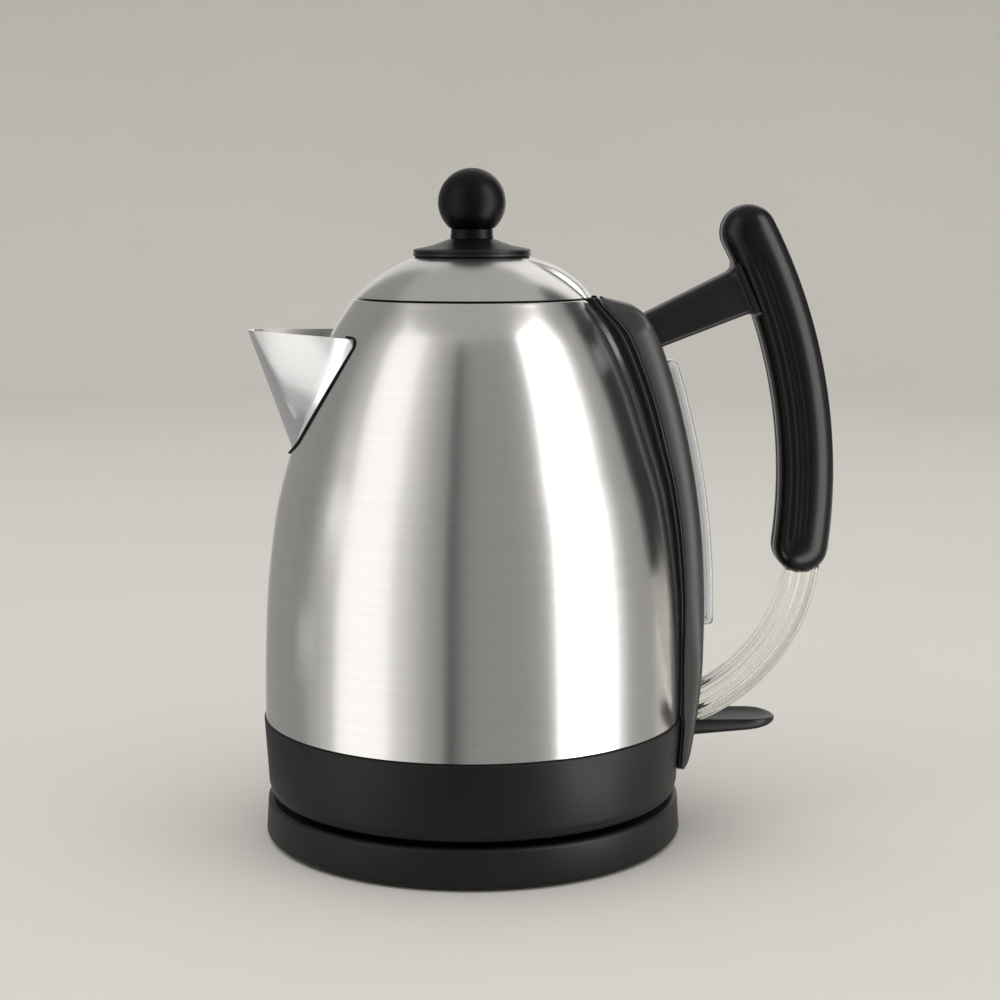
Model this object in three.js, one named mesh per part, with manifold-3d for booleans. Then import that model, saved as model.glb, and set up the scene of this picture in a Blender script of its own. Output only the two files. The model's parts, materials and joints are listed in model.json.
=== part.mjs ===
// Electric kettle: a cordless steel jug with a lift-off lid, standing on its power base.
// Millimetres, +Z up. The origin is on the jug's axis at the height of the counter.
// +X runs towards the handle and -X towards the spout.
import * as THREE from 'three';
import { mergeVertices } from 'three/addons/utils/BufferGeometryUtils.js';
import Module from 'manifold-3d';

const wasm = await Module();
wasm.setup();

// ---------------------------------------------------------------- driving dimensions

const GAP = 0.3; // clearance between pieces that touch
const ROUND = 32; // facets around the body and base
const LID_ROUND = 24; // facets around the lid's parts
const SMALL_ROUND = 16; // facets around connector parts
const SCREW_ROUND = 8;
const THROUGH = 200; // longer than any wall is deep

// Power base
const FOOT_HEIGHT = 1.0;
const FOOT_RADIUS = 6;
const FOOT_CIRCLE = 62;
const FOOT_COUNT = 3;
const BASE_RADIUS = 79.3;
const BASE_RIM_Z = 15.2;
const DECK_Z = 13.5;
const DECK_THICKNESS = 2;
const RING_TOP_Z = 17.1; // raised ring that carries the jug
const PLATE_THICKNESS = 2.6;
const BASE_SCREW_CIRCLE = 48;
const SCREW_COUNT = 3;
const BOSS_TOP_Z = 24.8; // top of the base connector

// Lower housing of the jug
const HOUSING_BOTTOM_Z = 17.4;
const SEAM_Z = 45.9; // where the lower housing meets the steel
const HOUSING_RADIUS = 79.9;
const HOUSING_INNER_RADIUS = 75.4;
const LEDGE_Z = 20.5; // underside of the inner ledge that the bottom cover screws to
const LEDGE_TOP_Z = 22.5;
const LEDGE_RADIUS = 64;
const BOTTOM_SCREW_CIRCLE = 68.5;
const CONNECTOR_RADIUS = 19;

// Steel body: radius and height along its outline
const BODY_OUTLINE = [
  [79.0, 46.2],
  [78.7, 70],
  [77.2, 98],
  [73.1, 128],
  [67.2, 150],
  [60.2, 172],
  [52.4, 190.3],
  [44.3, 202.9],
];
const BODY_TOP_Z = 202.9;
const BODY_WALL = 1.2;
const MOUTH_RADIUS = 40;
const MOUTH_LIP_Z = 196.8;
const ELEMENT_Z = 49;

// Lid: a spherical cap under a ball knob
const LID_SPHERE_RADIUS = 60;
const LID_SPHERE_Z = 162.3;
const LID_RADIUS = 43.9;
const LID_WALL = 1;
const FLANGE_RADIUS = 21.9;
const NECK_RADIUS = 8.3;
const BALL_RADIUS = 12.6;
const BALL_Z = 238.4;
const LINER_RADIUS = 38.2;
const LINER_TOP_Z = 202.6;

// Spout: a prow with a sloping front edge
const SPOUT_TIP = { x: -84, z: 191.3 };
const SPOUT_NOSE_SLOPE = 0.368; // how far the front edge runs back per millimetre of drop
const SPOUT_BOTTOM_Z = 145;
const SPOUT_SEAM = { x: -64.5, z: 149.4, slope: 0.6 }; // the seam lies in one sloping plane
const SPOUT_RIM_FALL = 0.035; // the rim falls this much per millimetre towards the body
const SPOUT_WALL = 1.2;
const POUR_HOLE = { top: 181, bottom: 154, topHalf: 15, bottomHalf: 9 };

// Spine: the upright housing behind the body that carries the handle
const SPINE_ARC = { x: -215.4, z: 85.9, radius: 303 };
const SPINE_HALF = 14;
const SPINE_WALL = 2.2;
const SPINE_BOTTOM_Z = 25.8;
const SPINE_TOP_Z = 204.1;
const BRACKET_HALF = 15;
const BRACKET_WINDOW_HALF = 11.6;
// How far the bracket's outer face stands above the skin, as [height, lift]
const BRACKET_LIFT = [
  [66, 1.9],
  [192, 7.5],
  [BODY_TOP_Z, 4.0],
];
const GAUGE = { bottom: 79.8, top: 180, half: 5.5, wall: 2.2, proud: 3.6 };
const GAUGE_PORT_RADIUS = 2.5;
const GAUGE_PORT_HEIGHTS = [90, 130, 170];
const STEAM_Y = 8.6; // the steam tube runs down beside the gauge
const STEAM_TOP_Z = 190.5;
const BRACKET_SCREW_Z = { low: 30, high: 192.5 };

// Handle: an arched grip, an upper strut and a clear lower bar
const GRIP_ARC = { x: -74, z: 134.5, radius: 199.4, low: -7.0, high: 27.8 }; // degrees
const GRIP_HALF_HEIGHT = 10.3;
const GRIP_HALF_WIDTH = 12;
const GRIP_WALL = 2.4;
const STRUT = {
  rootX: 68,
  rootZ: 191.6,
  tilt: 23.9, // degrees above level
  rootHalf: 6.9,
  endHalf: 8.6,
  length: 34.5,
  halfWidth: 8.5,
};
const STRUT_TONGUE = { half: 4, halfHeight: 5, end: 50, screwAt: 44 };
const BAR_ARC = { x: 58, z: 110, radius: 67.1 };
const BAR_HALF_HEIGHT = 6.1;
const BAR_HALF_WIDTH = 7;
const BAR_TOP_Z = 118;
const BAR_SCREW_Z = 112;
const BAR_FOOT = { x: 80.3, thickness: 1.9, half: 9.5, bottom: 44.9, top: 59 };

// Switch lever
const PIVOT = { x: 82.2, z: 41.5 };
const PIN_RADIUS = 1.3;
const PIN_HALF_LENGTH = 13.2;
const LEVER_HALF = 11;
const LEVER_TIP_X = 115.6;
const LEVER_ARM_HALF = 4.8;

// Filter behind the spout, in its own sloping frame
const FILTER = { x: -60, z: 152, tilt: 19.9, half: 18, length: 30, thickness: 1.6, border: 3 };

// ---------------------------------------------------------------- materials

const brushedSteel = new THREE.MeshStandardMaterial({ color: 0xb4b2ae, roughness: 0.32, metalness: 1 });
const brightSteel = new THREE.MeshStandardMaterial({ color: 0xc9c8c5, roughness: 0.2, metalness: 1 });
const innerSteel = new THREE.MeshStandardMaterial({ color: 0xa8a7a4, roughness: 0.4, metalness: 1 });
const aluminium = new THREE.MeshStandardMaterial({ color: 0xbfc1c3, roughness: 0.45, metalness: 1 });
const brass = new THREE.MeshStandardMaterial({ color: 0xc2a35a, roughness: 0.35, metalness: 1 });
const mattBlack = new THREE.MeshStandardMaterial({ color: 0x2d2d2a, roughness: 0.6, metalness: 0 });
const satinBlack = new THREE.MeshStandardMaterial({ color: 0x262626, roughness: 0.42, metalness: 0 });
const glossBlack = new THREE.MeshStandardMaterial({ color: 0x141414, roughness: 0.18, metalness: 0 });
const pale = new THREE.MeshStandardMaterial({ color: 0xd9d6cc, roughness: 0.5, metalness: 0 });
const rubber = new THREE.MeshStandardMaterial({ color: 0x1b1b1b, roughness: 0.85, metalness: 0 });
const silicone = new THREE.MeshStandardMaterial({ color: 0xc9c9c4, roughness: 0.7, metalness: 0 });
const clear = new THREE.MeshStandardMaterial({
  color: 0xdfe5da,
  roughness: 0.05,
  metalness: 0,
  transparent: true,
  opacity: 0.35,
});

// ---------------------------------------------------------------- shape helpers

const radians = THREE.MathUtils.degToRad;

// Evenly spaced values from low to high, both ends included.
function steps(low, high, count) {
  return Array.from({ length: count + 1 }, (_, i) => low + ((high - low) * i) / count);
}

// A closed geometry as a solid that can be joined and cut.
function toSolid(geometry) {
  const bare = geometry.clone();
  bare.deleteAttribute('normal');
  bare.deleteAttribute('uv');
  const merged = mergeVertices(bare, 1e-4);
  const vertProperties = new Float32Array(merged.attributes.position.array);
  const triVerts = new Uint32Array(merged.index.array);
  return new wasm.Manifold(new wasm.Mesh({ numProp: 3, vertProperties, triVerts }));
}

// The solid's triangles as a geometry with flat normals.
function toGeometry(solid) {
  const mesh = solid.getMesh();
  const geometry = new THREE.BufferGeometry();
  geometry.setAttribute('position', new THREE.BufferAttribute(new Float32Array(mesh.vertProperties), 3));
  geometry.setIndex(new THREE.BufferAttribute(new Uint32Array(mesh.triVerts), 1));
  geometry.computeVertexNormals();
  return geometry;
}

// Solid of revolution about +Z from [radius, height] points; a profile off the axis closes on itself.
function turned(profile, facets = ROUND) {
  let points = profile.map(([r, z]) => new THREE.Vector2(r, z));
  if (THREE.ShapeUtils.area(points) < 0) {
    points.reverse();
  }
  const onAxis = points.filter((p) => p.x === 0).length;
  if (onAxis === 0) {
    points = [...points, points[0].clone()];
  } else {
    while (points[0].x !== 0 || points[points.length - 1].x !== 0) {
      points.push(points.shift());
    }
  }
  return toSolid(new THREE.LatheGeometry(points, facets).rotateX(Math.PI / 2));
}

// A straight round rod from one point to another.
function rod(from, to, radius, facets = SCREW_ROUND) {
  const start = new THREE.Vector3(...from);
  const span = new THREE.Vector3(...to).sub(start);
  const geometry = new THREE.CylinderGeometry(radius, radius, span.length(), facets);
  geometry.translate(0, span.length() / 2, 0);
  const upright = new THREE.Vector3(0, 1, 0);
  geometry.applyQuaternion(new THREE.Quaternion().setFromUnitVectors(upright, span.clone().normalize()));
  return toSolid(geometry.translate(start.x, start.y, start.z));
}

function block(low, high) {
  const size = high.map((value, i) => value - low[i]);
  const middle = high.map((value, i) => (value + low[i]) / 2);
  return toSolid(new THREE.BoxGeometry(...size).translate(...middle));
}

// An outline of [x, z] points drawn in the XZ plane and extruded evenly to both sides of it.
function slab(outline, half, bevel = 0, bevelSegments = 1, holes = []) {
  const shape = new THREE.Shape(outline.map(([x, z]) => new THREE.Vector2(x, z)));
  shape.holes = holes.map((hole) => new THREE.Path(hole.map(([x, z]) => new THREE.Vector2(x, z))));
  const depth = 2 * (half - bevel);
  const geometry = new THREE.ExtrudeGeometry(shape, {
    depth,
    steps: 1,
    bevelEnabled: bevel > 0,
    bevelThickness: bevel,
    bevelSize: bevel,
    bevelOffset: -bevel,
    bevelSegments,
  });
  return toSolid(geometry.rotateX(Math.PI / 2).translate(0, depth / 2, 0));
}

// A closed solid from horizontal rings of equal point count, lowest first, counter-clockwise from above.
function lofted(rings) {
  const count = rings[0].length;
  const last = (rings.length - 1) * count;
  const index = [];
  for (let level = 0; level < rings.length - 1; level += 1) {
    for (let i = 0; i < count; i += 1) {
      const a = level * count + i;
      const b = level * count + ((i + 1) % count);
      index.push(a, b, b + count, a, b + count, a + count);
    }
  }
  const outline = (ring) => ring.map(([x, y]) => new THREE.Vector2(x, y));
  for (const [a, b, c] of THREE.ShapeUtils.triangulateShape(outline(rings[0]), [])) {
    index.push(a, c, b);
  }
  for (const [a, b, c] of THREE.ShapeUtils.triangulateShape(outline(rings[rings.length - 1]), [])) {
    index.push(last + a, last + b, last + c);
  }
  const geometry = new THREE.BufferGeometry();
  geometry.setAttribute('position', new THREE.Float32BufferAttribute(rings.flat(2), 3));
  geometry.setIndex(index);
  return toSolid(geometry);
}

// The points of an arc in the XZ plane, between two angles in degrees.
function arcPoints(centreX, centreZ, radius, from, to, count) {
  return steps(radians(from), radians(to), count).map((angle) => [
    centreX + radius * Math.cos(angle),
    centreZ + radius * Math.sin(angle),
  ]);
}

// Positions evenly spaced on a circle, as [x, y], starting at a given angle in degrees.
function aroundAxis(radius, count, start = 0) {
  return Array.from({ length: count }, (_, i) => {
    const angle = radians(start + (360 * i) / count);
    return [radius * Math.cos(angle), radius * Math.sin(angle)];
  });
}

// A vertical screw with its head at the bottom.
function uprightScrew([x, y], headZ, headHeight, topZ, headRadius = 3.1, shankRadius = 1.5) {
  const head = rod([x, y, headZ], [x, y, headZ + headHeight], headRadius);
  const shank = rod([x, y, headZ + headHeight / 2], [x, y, topZ], shankRadius);
  return head.add(shank);
}

const kettle = new THREE.Group();

function addPart(name, solid, material) {
  const mesh = new THREE.Mesh(toGeometry(solid), material);
  mesh.name = name;
  kettle.add(mesh);
}

// ---------------------------------------------------------------- the jug's outer skin

const bodyCurve = new THREE.SplineCurve(BODY_OUTLINE.map(([r, z]) => new THREE.Vector2(r, z)));
const bodySamples = bodyCurve.getPoints(120);

// Outer radius of the steel body at a height.
function bodyRadius(z) {
  const next = bodySamples.findIndex((point) => point.y >= z);
  if (next <= 0) {
    return next === 0 ? bodySamples[0].x : bodySamples[bodySamples.length - 1].x;
  }
  const [low, high] = [bodySamples[next - 1], bodySamples[next]];
  return low.x + ((high.x - low.x) * (z - low.y)) / (high.y - low.y);
}

// Outer radius of the lower housing below the seam and of the steel body above it.
function skinRadius(z) {
  if (z > SEAM_Z) {
    return bodyRadius(z);
  }
  return HOUSING_RADIUS - (SEAM_Z - z) * 0.062;
}

// The space inside the jug's skin, grown by an offset that may depend on the height.
function skinSpace(offsetAt, low = 10, high = 215) {
  const heights = [low, SEAM_Z, ...steps(60, 130, 4), ...steps(140, BODY_TOP_Z, 7), high];
  const outline = heights.map((z) => [skinRadius(z) + offsetAt(z), z]);
  return turned([[0, low], ...outline, [0, high]]);
}

// ---------------------------------------------------------------- power base

function addBase() {
  const screwPlaces = aroundAxis(BASE_SCREW_CIRCLE, SCREW_COUNT, 60);
  const footPlaces = aroundAxis(FOOT_CIRCLE, FOOT_COUNT);
  const wallRadius = 76.2;
  const deckHole = 14.7;
  const plateTop = FOOT_HEIGHT + PLATE_THICKNESS;
  const deckUnder = DECK_Z - DECK_THICKNESS;

  let cover = turned([
    [77.7, FOOT_HEIGHT],
    [78.8, 2.3],
    [BASE_RADIUS, 5],
    [78.4, 13.6],
    [77.2, BASE_RIM_Z],
    [75.2, BASE_RIM_Z],
    [74.2, DECK_Z],
    [63, DECK_Z],
    [62.4, RING_TOP_Z],
    [59.6, RING_TOP_Z],
    [59, DECK_Z],
    [deckHole, DECK_Z],
    [deckHole, deckUnder],
    [wallRadius, deckUnder],
    [wallRadius, FOOT_HEIGHT],
  ]);
  for (const [x, y] of screwPlaces) {
    cover = cover.add(rod([x, y, plateTop + GAP], [x, y, DECK_Z - 0.5], 3.6));
    cover = cover.subtract(rod([x, y, FOOT_HEIGHT], [x, y, 10.5], 1.8));
  }
  const inlet = { z: 8.2, radius: 4.2, bore: 2.9 };
  const inletRod = (from, to, radius) => rod([0, from, inlet.z], [0, to, inlet.z], radius, 12);
  cover = cover.subtract(inletRod(70, THROUGH, inlet.radius + GAP));
  addPart('base_cover', cover, mattBlack);

  addPart('cord_inlet', inletRod(72, 80.4, inlet.radius).subtract(inletRod(60, 90, inlet.bore)), rubber);

  let plate = turned([
    [0, FOOT_HEIGHT],
    [20, FOOT_HEIGHT],
    [wallRadius - GAP, FOOT_HEIGHT],
    [wallRadius - GAP, plateTop],
    [0, plateTop],
  ]);
  for (const [x, y] of screwPlaces) {
    plate = plate.subtract(rod([x, y, 0], [x, y, 2.6], 3.4));
    plate = plate.subtract(rod([x, y, 0], [x, y, 5], 1.8));
  }
  addPart('base_plate', plate, mattBlack);

  footPlaces.forEach(([x, y], i) => {
    addPart(`base_foot_${i + 1}`, rod([x, y, 0], [x, y, FOOT_HEIGHT], FOOT_RADIUS, 12), rubber);
  });
  screwPlaces.forEach((place, i) => {
    addPart(`base_screw_${i + 1}`, uprightScrew(place, 1.2, 1.1, 10), innerSteel);
  });
}

// The round connector: the base's slotted boss and the jug's pin and rings that drop into it.
function addConnectors() {
  const slot = { inner: 8.3, outer: 10.5, bottom: 12 };
  const pinRadius = 2.4;
  const boss = turned(
    [
      [0, 9],
      [20, 9],
      [20, DECK_Z - DECK_THICKNESS - GAP],
      [14.4, DECK_Z - DECK_THICKNESS - GAP],
      [14.4, BOSS_TOP_Z],
      [slot.outer, BOSS_TOP_Z],
      [slot.outer, slot.bottom],
      [slot.inner, slot.bottom],
      [slot.inner, BOSS_TOP_Z],
      [3.5, BOSS_TOP_Z],
      [3.5, slot.bottom],
      [0, slot.bottom],
    ],
    SMALL_ROUND,
  );
  addPart('base_connector', boss, pale);

  const ring = (inner, outer, low, high) =>
    turned(
      [
        [inner, low],
        [outer, low],
        [outer, high],
        [inner, high],
      ],
      SMALL_ROUND,
    );
  addPart('base_live_contact', ring(2.75, 3.2, slot.bottom + GAP, 20), brass);
  addPart('base_neutral_contact', ring(8.6, 10.2, slot.bottom + GAP, 15.5), brass);
  addPart('base_earth_contact', ring(14.75, 15.3, DECK_Z + GAP, 17.2), brightSteel);

  const ceiling = 25.4;
  const top = 27.2;
  const socket = turned(
    [
      [15.6, HOUSING_BOTTOM_Z],
      [CONNECTOR_RADIUS, HOUSING_BOTTOM_Z],
      [CONNECTOR_RADIUS, 20],
      [24, 20],
      [24, 22],
      [CONNECTOR_RADIUS, 22],
      [CONNECTOR_RADIUS, top],
      [pinRadius + GAP, top],
      [pinRadius + GAP, ceiling],
      [15.6, ceiling],
    ],
    SMALL_ROUND,
  );
  addPart('jug_connector', socket, pale);
  addPart('jug_live_pin', rod([0, 0, 17], [0, 0, 27], pinRadius, 12), brass);
  addPart('jug_neutral_ring', ring(9, 9.8, 16.8, ceiling - GAP), brass);
  addPart('jug_earth_ring', ring(14.75, 15.3, 18, ceiling - GAP), brightSteel);
}

// ---------------------------------------------------------------- lower housing, element and control

function addLowerHousing() {
  const screwPlaces = aroundAxis(BOTTOM_SCREW_CIRCLE, SCREW_COUNT, 60);
  let housing = turned([
    [76.2, HOUSING_BOTTOM_Z],
    [77.7, 18.2],
    [skinRadius(20.5), 20.5],
    [skinRadius(33), 33],
    [HOUSING_RADIUS, 44.6],
    [HOUSING_RADIUS - 0.5, SEAM_Z],
    [77.4, SEAM_Z],
    [77.4, 47.4],
    [HOUSING_INNER_RADIUS, 47.4],
    [HOUSING_INNER_RADIUS, LEDGE_TOP_Z],
    [LEDGE_RADIUS, LEDGE_TOP_Z],
    [LEDGE_RADIUS, LEDGE_Z],
    [74.8, LEDGE_Z],
    [74.8, HOUSING_BOTTOM_Z],
  ]);
  for (const [x, y] of screwPlaces) {
    housing = housing.add(rod([x, y, LEDGE_Z], [x, y, 30], 3.4));
    housing = housing.subtract(rod([x, y, HOUSING_BOTTOM_Z], [x, y, 28.5], 1.8));
  }
  const armSlot = block([60, -LEVER_ARM_HALF - 0.5, 35], [90, LEVER_ARM_HALF + 0.5, 45.4]);
  const screwHole = rod([70, 0, BRACKET_SCREW_Z.low], [90, 0, BRACKET_SCREW_Z.low], 1.8);
  addPart('lower_housing', housing.subtract(armSlot).subtract(screwHole), mattBlack);

  let cover = turned([
    [CONNECTOR_RADIUS + GAP, HOUSING_BOTTOM_Z],
    [74.5, HOUSING_BOTTOM_Z],
    [74.5, 19.7],
    [CONNECTOR_RADIUS + GAP, 19.7],
  ]);
  for (const [x, y] of screwPlaces) {
    cover = cover.subtract(rod([x, y, 15], [x, y, 18.9], 3.4));
    cover = cover.subtract(rod([x, y, 15], [x, y, 25], 1.8));
  }
  addPart('bottom_cover', cover, mattBlack);
  screwPlaces.forEach((place, i) => {
    addPart(`bottom_screw_${i + 1}`, uprightScrew(place, HOUSING_BOTTOM_Z + 0.1, 1.1, 28), innerSteel);
  });
}

function addElement() {
  const plateRadius = 75.2;
  const plate = turned([
    [0, ELEMENT_Z],
    [plateRadius, ELEMENT_Z],
    [plateRadius, 53],
    [plateRadius - 1.2, 53],
    [plateRadius - 1.2, ELEMENT_Z + 1.2],
    [0, ELEMENT_Z + 1.2],
  ]);
  addPart('element_plate', plate, innerSteel);
  const seal = turned([
    [plateRadius + GAP, 47.7],
    [77.3, 47.7],
    [77.3, 52.6],
    [plateRadius + GAP, 52.6],
  ]);
  addPart('plate_seal', seal, silicone);

  const spreaderLow = 46.4;
  const spreader = turned([
    [0, spreaderLow],
    [56, spreaderLow],
    [56, ELEMENT_Z - GAP],
    [0, ELEMENT_Z - GAP],
  ]);
  addPart('heat_spreader', spreader, aluminium);

  const heaterRadius = 4;
  const heaterCircle = 44;
  const heaterZ = spreaderLow - GAP - heaterRadius;
  const heaterPath = new THREE.CatmullRomCurve3(
    steps(200, 520, 20).map((angle) => {
      const turn = radians(angle);
      return new THREE.Vector3(heaterCircle * Math.cos(turn), heaterCircle * Math.sin(turn), heaterZ);
    }),
  );
  const section = new THREE.Shape(aroundAxis(heaterRadius, 8).map(([x, y]) => new THREE.Vector2(x, y)));
  const sweep = { steps: 20, bevelEnabled: false, extrudePath: heaterPath };
  const heater = new THREE.ExtrudeGeometry(section, sweep);
  addPart('heating_element', toSolid(heater), aluminium);

  const controlTop = 43;
  const control = [
    [-26, -12],
    [-18, -20],
    [18, -20],
    [26, -12],
    [26, 12],
    [18, 20],
    [-18, 20],
    [-26, 12],
  ];
  const ringAt = (z) => control.map(([x, y]) => [x, y, z]);
  addPart('control_unit', lofted([ringAt(27.5), ringAt(controlTop)]), pale);
  for (const [i, y] of [-10, 10].entries()) {
    const disc = rod([0, y, controlTop + GAP], [0, y, controlTop + 1.2], 8.5, 12);
    addPart(`overheat_disc_${i + 1}`, disc, brass);
  }

  addPart('steam_switch', block([50, -8, LEDGE_TOP_Z + GAP], [62, 8, 37]), pale);
  addPart('steam_disc', rod([62 + GAP, 0, 30], [63.4, 0, 30], 6, 12), brass);
}

// ---------------------------------------------------------------- steel body

// How thick the wall is measured along a radius: more where the wall leans inwards.
function wallAt(z) {
  return z < 150 ? BODY_WALL : BODY_WALL + ((z - 150) / (BODY_TOP_Z - 150)) * 0.7;
}

function addBody() {
  const heights = [46.2, 70, 92, 110, 126, 140, 152, 164, 176, 186, 195, BODY_TOP_Z];
  const outer = heights.map((z) => [bodyRadius(z), z]);
  const innerHeights = [200.4, 192, 180, 165, 148, 126, 98, 70, 46.2];
  const inner = innerHeights.map((z) => [bodyRadius(z) - wallAt(z), z]);
  const lip = [
    [42.4, BODY_TOP_Z],
    [MOUTH_RADIUS, 201.4],
    [MOUTH_RADIUS, MOUTH_LIP_Z],
    [MOUTH_RADIUS + 1.1, MOUTH_LIP_Z],
    [MOUTH_RADIUS + 1.1, 200.8],
  ];
  let body = turned([...outer, ...lip, ...inner]);

  const { top, bottom, topHalf, bottomHalf } = POUR_HOLE;
  const pourRing = (x) => [
    [x, -bottomHalf, bottom],
    [x, bottomHalf, bottom],
    [x, topHalf, top],
    [x, -topHalf, top],
  ];
  body = body.subtract(taperedBar(pourRing(-90), pourRing(-40)));
  for (const z of GAUGE_PORT_HEIGHTS) {
    body = body.subtract(rod([40, 0, z], [100, 0, z], GAUGE_PORT_RADIUS));
  }
  body = body.subtract(rod([40, STEAM_Y, STEAM_TOP_Z], [70, STEAM_Y, STEAM_TOP_Z], 1.6));
  body = body.subtract(rod([40, 0, BRACKET_SCREW_Z.high], [70, 0, BRACKET_SCREW_Z.high], 1.8));
  addPart('body_shell', body, brushedSteel);
}

// A bar with flat sides between two rings of four points.
function taperedBar(nearRing, farRing) {
  const quads = [
    [0, 1, 2, 3],
    [7, 6, 5, 4],
    [0, 4, 5, 1],
    [1, 5, 6, 2],
    [2, 6, 7, 3],
    [3, 7, 4, 0],
  ];
  const geometry = new THREE.BufferGeometry();
  geometry.setAttribute('position', new THREE.Float32BufferAttribute([...nearRing, ...farRing].flat(), 3));
  geometry.setIndex(quads.flatMap(([a, b, c, d]) => [a, c, b, a, d, c]));
  return toSolid(geometry);
}

// ---------------------------------------------------------------- spout

// Half the spout's width where it meets the skin, at a height.
function seamHalf(z) {
  const x = SPOUT_SEAM.x + SPOUT_SEAM.slope * (z - SPOUT_SEAM.z);
  return Math.sqrt(Math.max(bodyRadius(z) ** 2 - x * x, 25));
}

// One horizontal section: a rounded prow closed inside the body. Inset shrinks it all round.
function prowRing(z, inset) {
  const noseX = Math.max(-SPOUT_TIP.x - SPOUT_NOSE_SLOPE * (SPOUT_TIP.z - z), bodyRadius(z) + 0.8);
  const half = seamHalf(z);
  const seamX = Math.sqrt(bodyRadius(z) ** 2 - half * half);
  const roundness = 2 + 0.22 * (SPOUT_TIP.z - z);
  const reach = Math.sqrt(half * half + roundness * roundness) - roundness;
  const rise = (noseX - seamX) / reach;
  const front = steps(half, -half, 10).map((y) => {
    const back = rise * (Math.sqrt(y * y + roundness * roundness) - roundness);
    return [-(noseX - 1.35 * inset - back), y * (1 - inset / half), z];
  });
  return [...front, [-30, -half + inset, z], [-30, half - inset, z]];
}

function addSpout() {
  const levels = [SPOUT_BOTTOM_Z, 148, 152, 158, 166, 176, 186, 194];
  const outer = lofted(levels.map((z) => prowRing(z, 0)));
  const inner = lofted([151, ...levels.slice(3)].map((z) => prowRing(z, SPOUT_WALL)));
  const rimTilt = Math.atan(SPOUT_RIM_FALL);
  const above = block([-100, -60, 0], [100, 60, 20]).rotate([0, THREE.MathUtils.radToDeg(rimTilt), 0]);
  const rimCut = above.translate([SPOUT_TIP.x, 0, SPOUT_TIP.z]);
  const spout = outer.subtract(inner).subtract(rimCut).subtract(skinSpace(() => 1.3));
  addPart('spout', spout, brightSteel);

  const sheet = skinSpace(() => 1.0).subtract(skinSpace(() => GAP));
  const wide = lofted(levels.slice(1, -1).map((z) => prowRing(z, -0.9)));
  const narrow = lofted([151.5, ...levels.slice(3, -1)].map((z) => prowRing(z, 2.4)));
  const gasket = sheet.intersect(wide).subtract(narrow).intersect(block([-100, -60, 140], [0, 60, 189.3]));
  addPart('spout_gasket', gasket, rubber);
}

// ---------------------------------------------------------------- spine, gauge and steam tube

function bracketLift(z) {
  const [[from, low], [middle, high], [to, top]] = BRACKET_LIFT;
  if (z < middle) {
    return low + (high - low) * THREE.MathUtils.clamp((z - from) / (middle - from), 0, 1);
  }
  return high + (top - high) * THREE.MathUtils.clamp((z - middle) / (to - middle), 0, 1);
}

// The spine's back edge at a height.
function spineBack(z, inset = 0) {
  return SPINE_ARC.x + Math.sqrt((SPINE_ARC.radius - inset) ** 2 - (z - SPINE_ARC.z) ** 2);
}

// Side outline of the spine, from inside the body out to its back edge.
function spineOutline(inset) {
  const back = steps(40, 187, 9).map((z) => [spineBack(z, inset), z]);
  return [
    [30, SPINE_BOTTOM_Z + inset],
    [80.4 - inset, SPINE_BOTTOM_Z + inset],
    [82.4 - inset, 29.2 + inset / 2],
    ...back,
    [66.8 - inset, 193.4 - inset],
    [64.4 - inset, 196.8 - inset],
    [62.4 - inset, 198.9 - inset],
    [59.8 - inset, 200.6 - inset],
    [50.2, 202.9 - inset],
    [45, SPINE_TOP_Z - inset],
    [30, SPINE_TOP_Z - inset],
  ];
}

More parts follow.
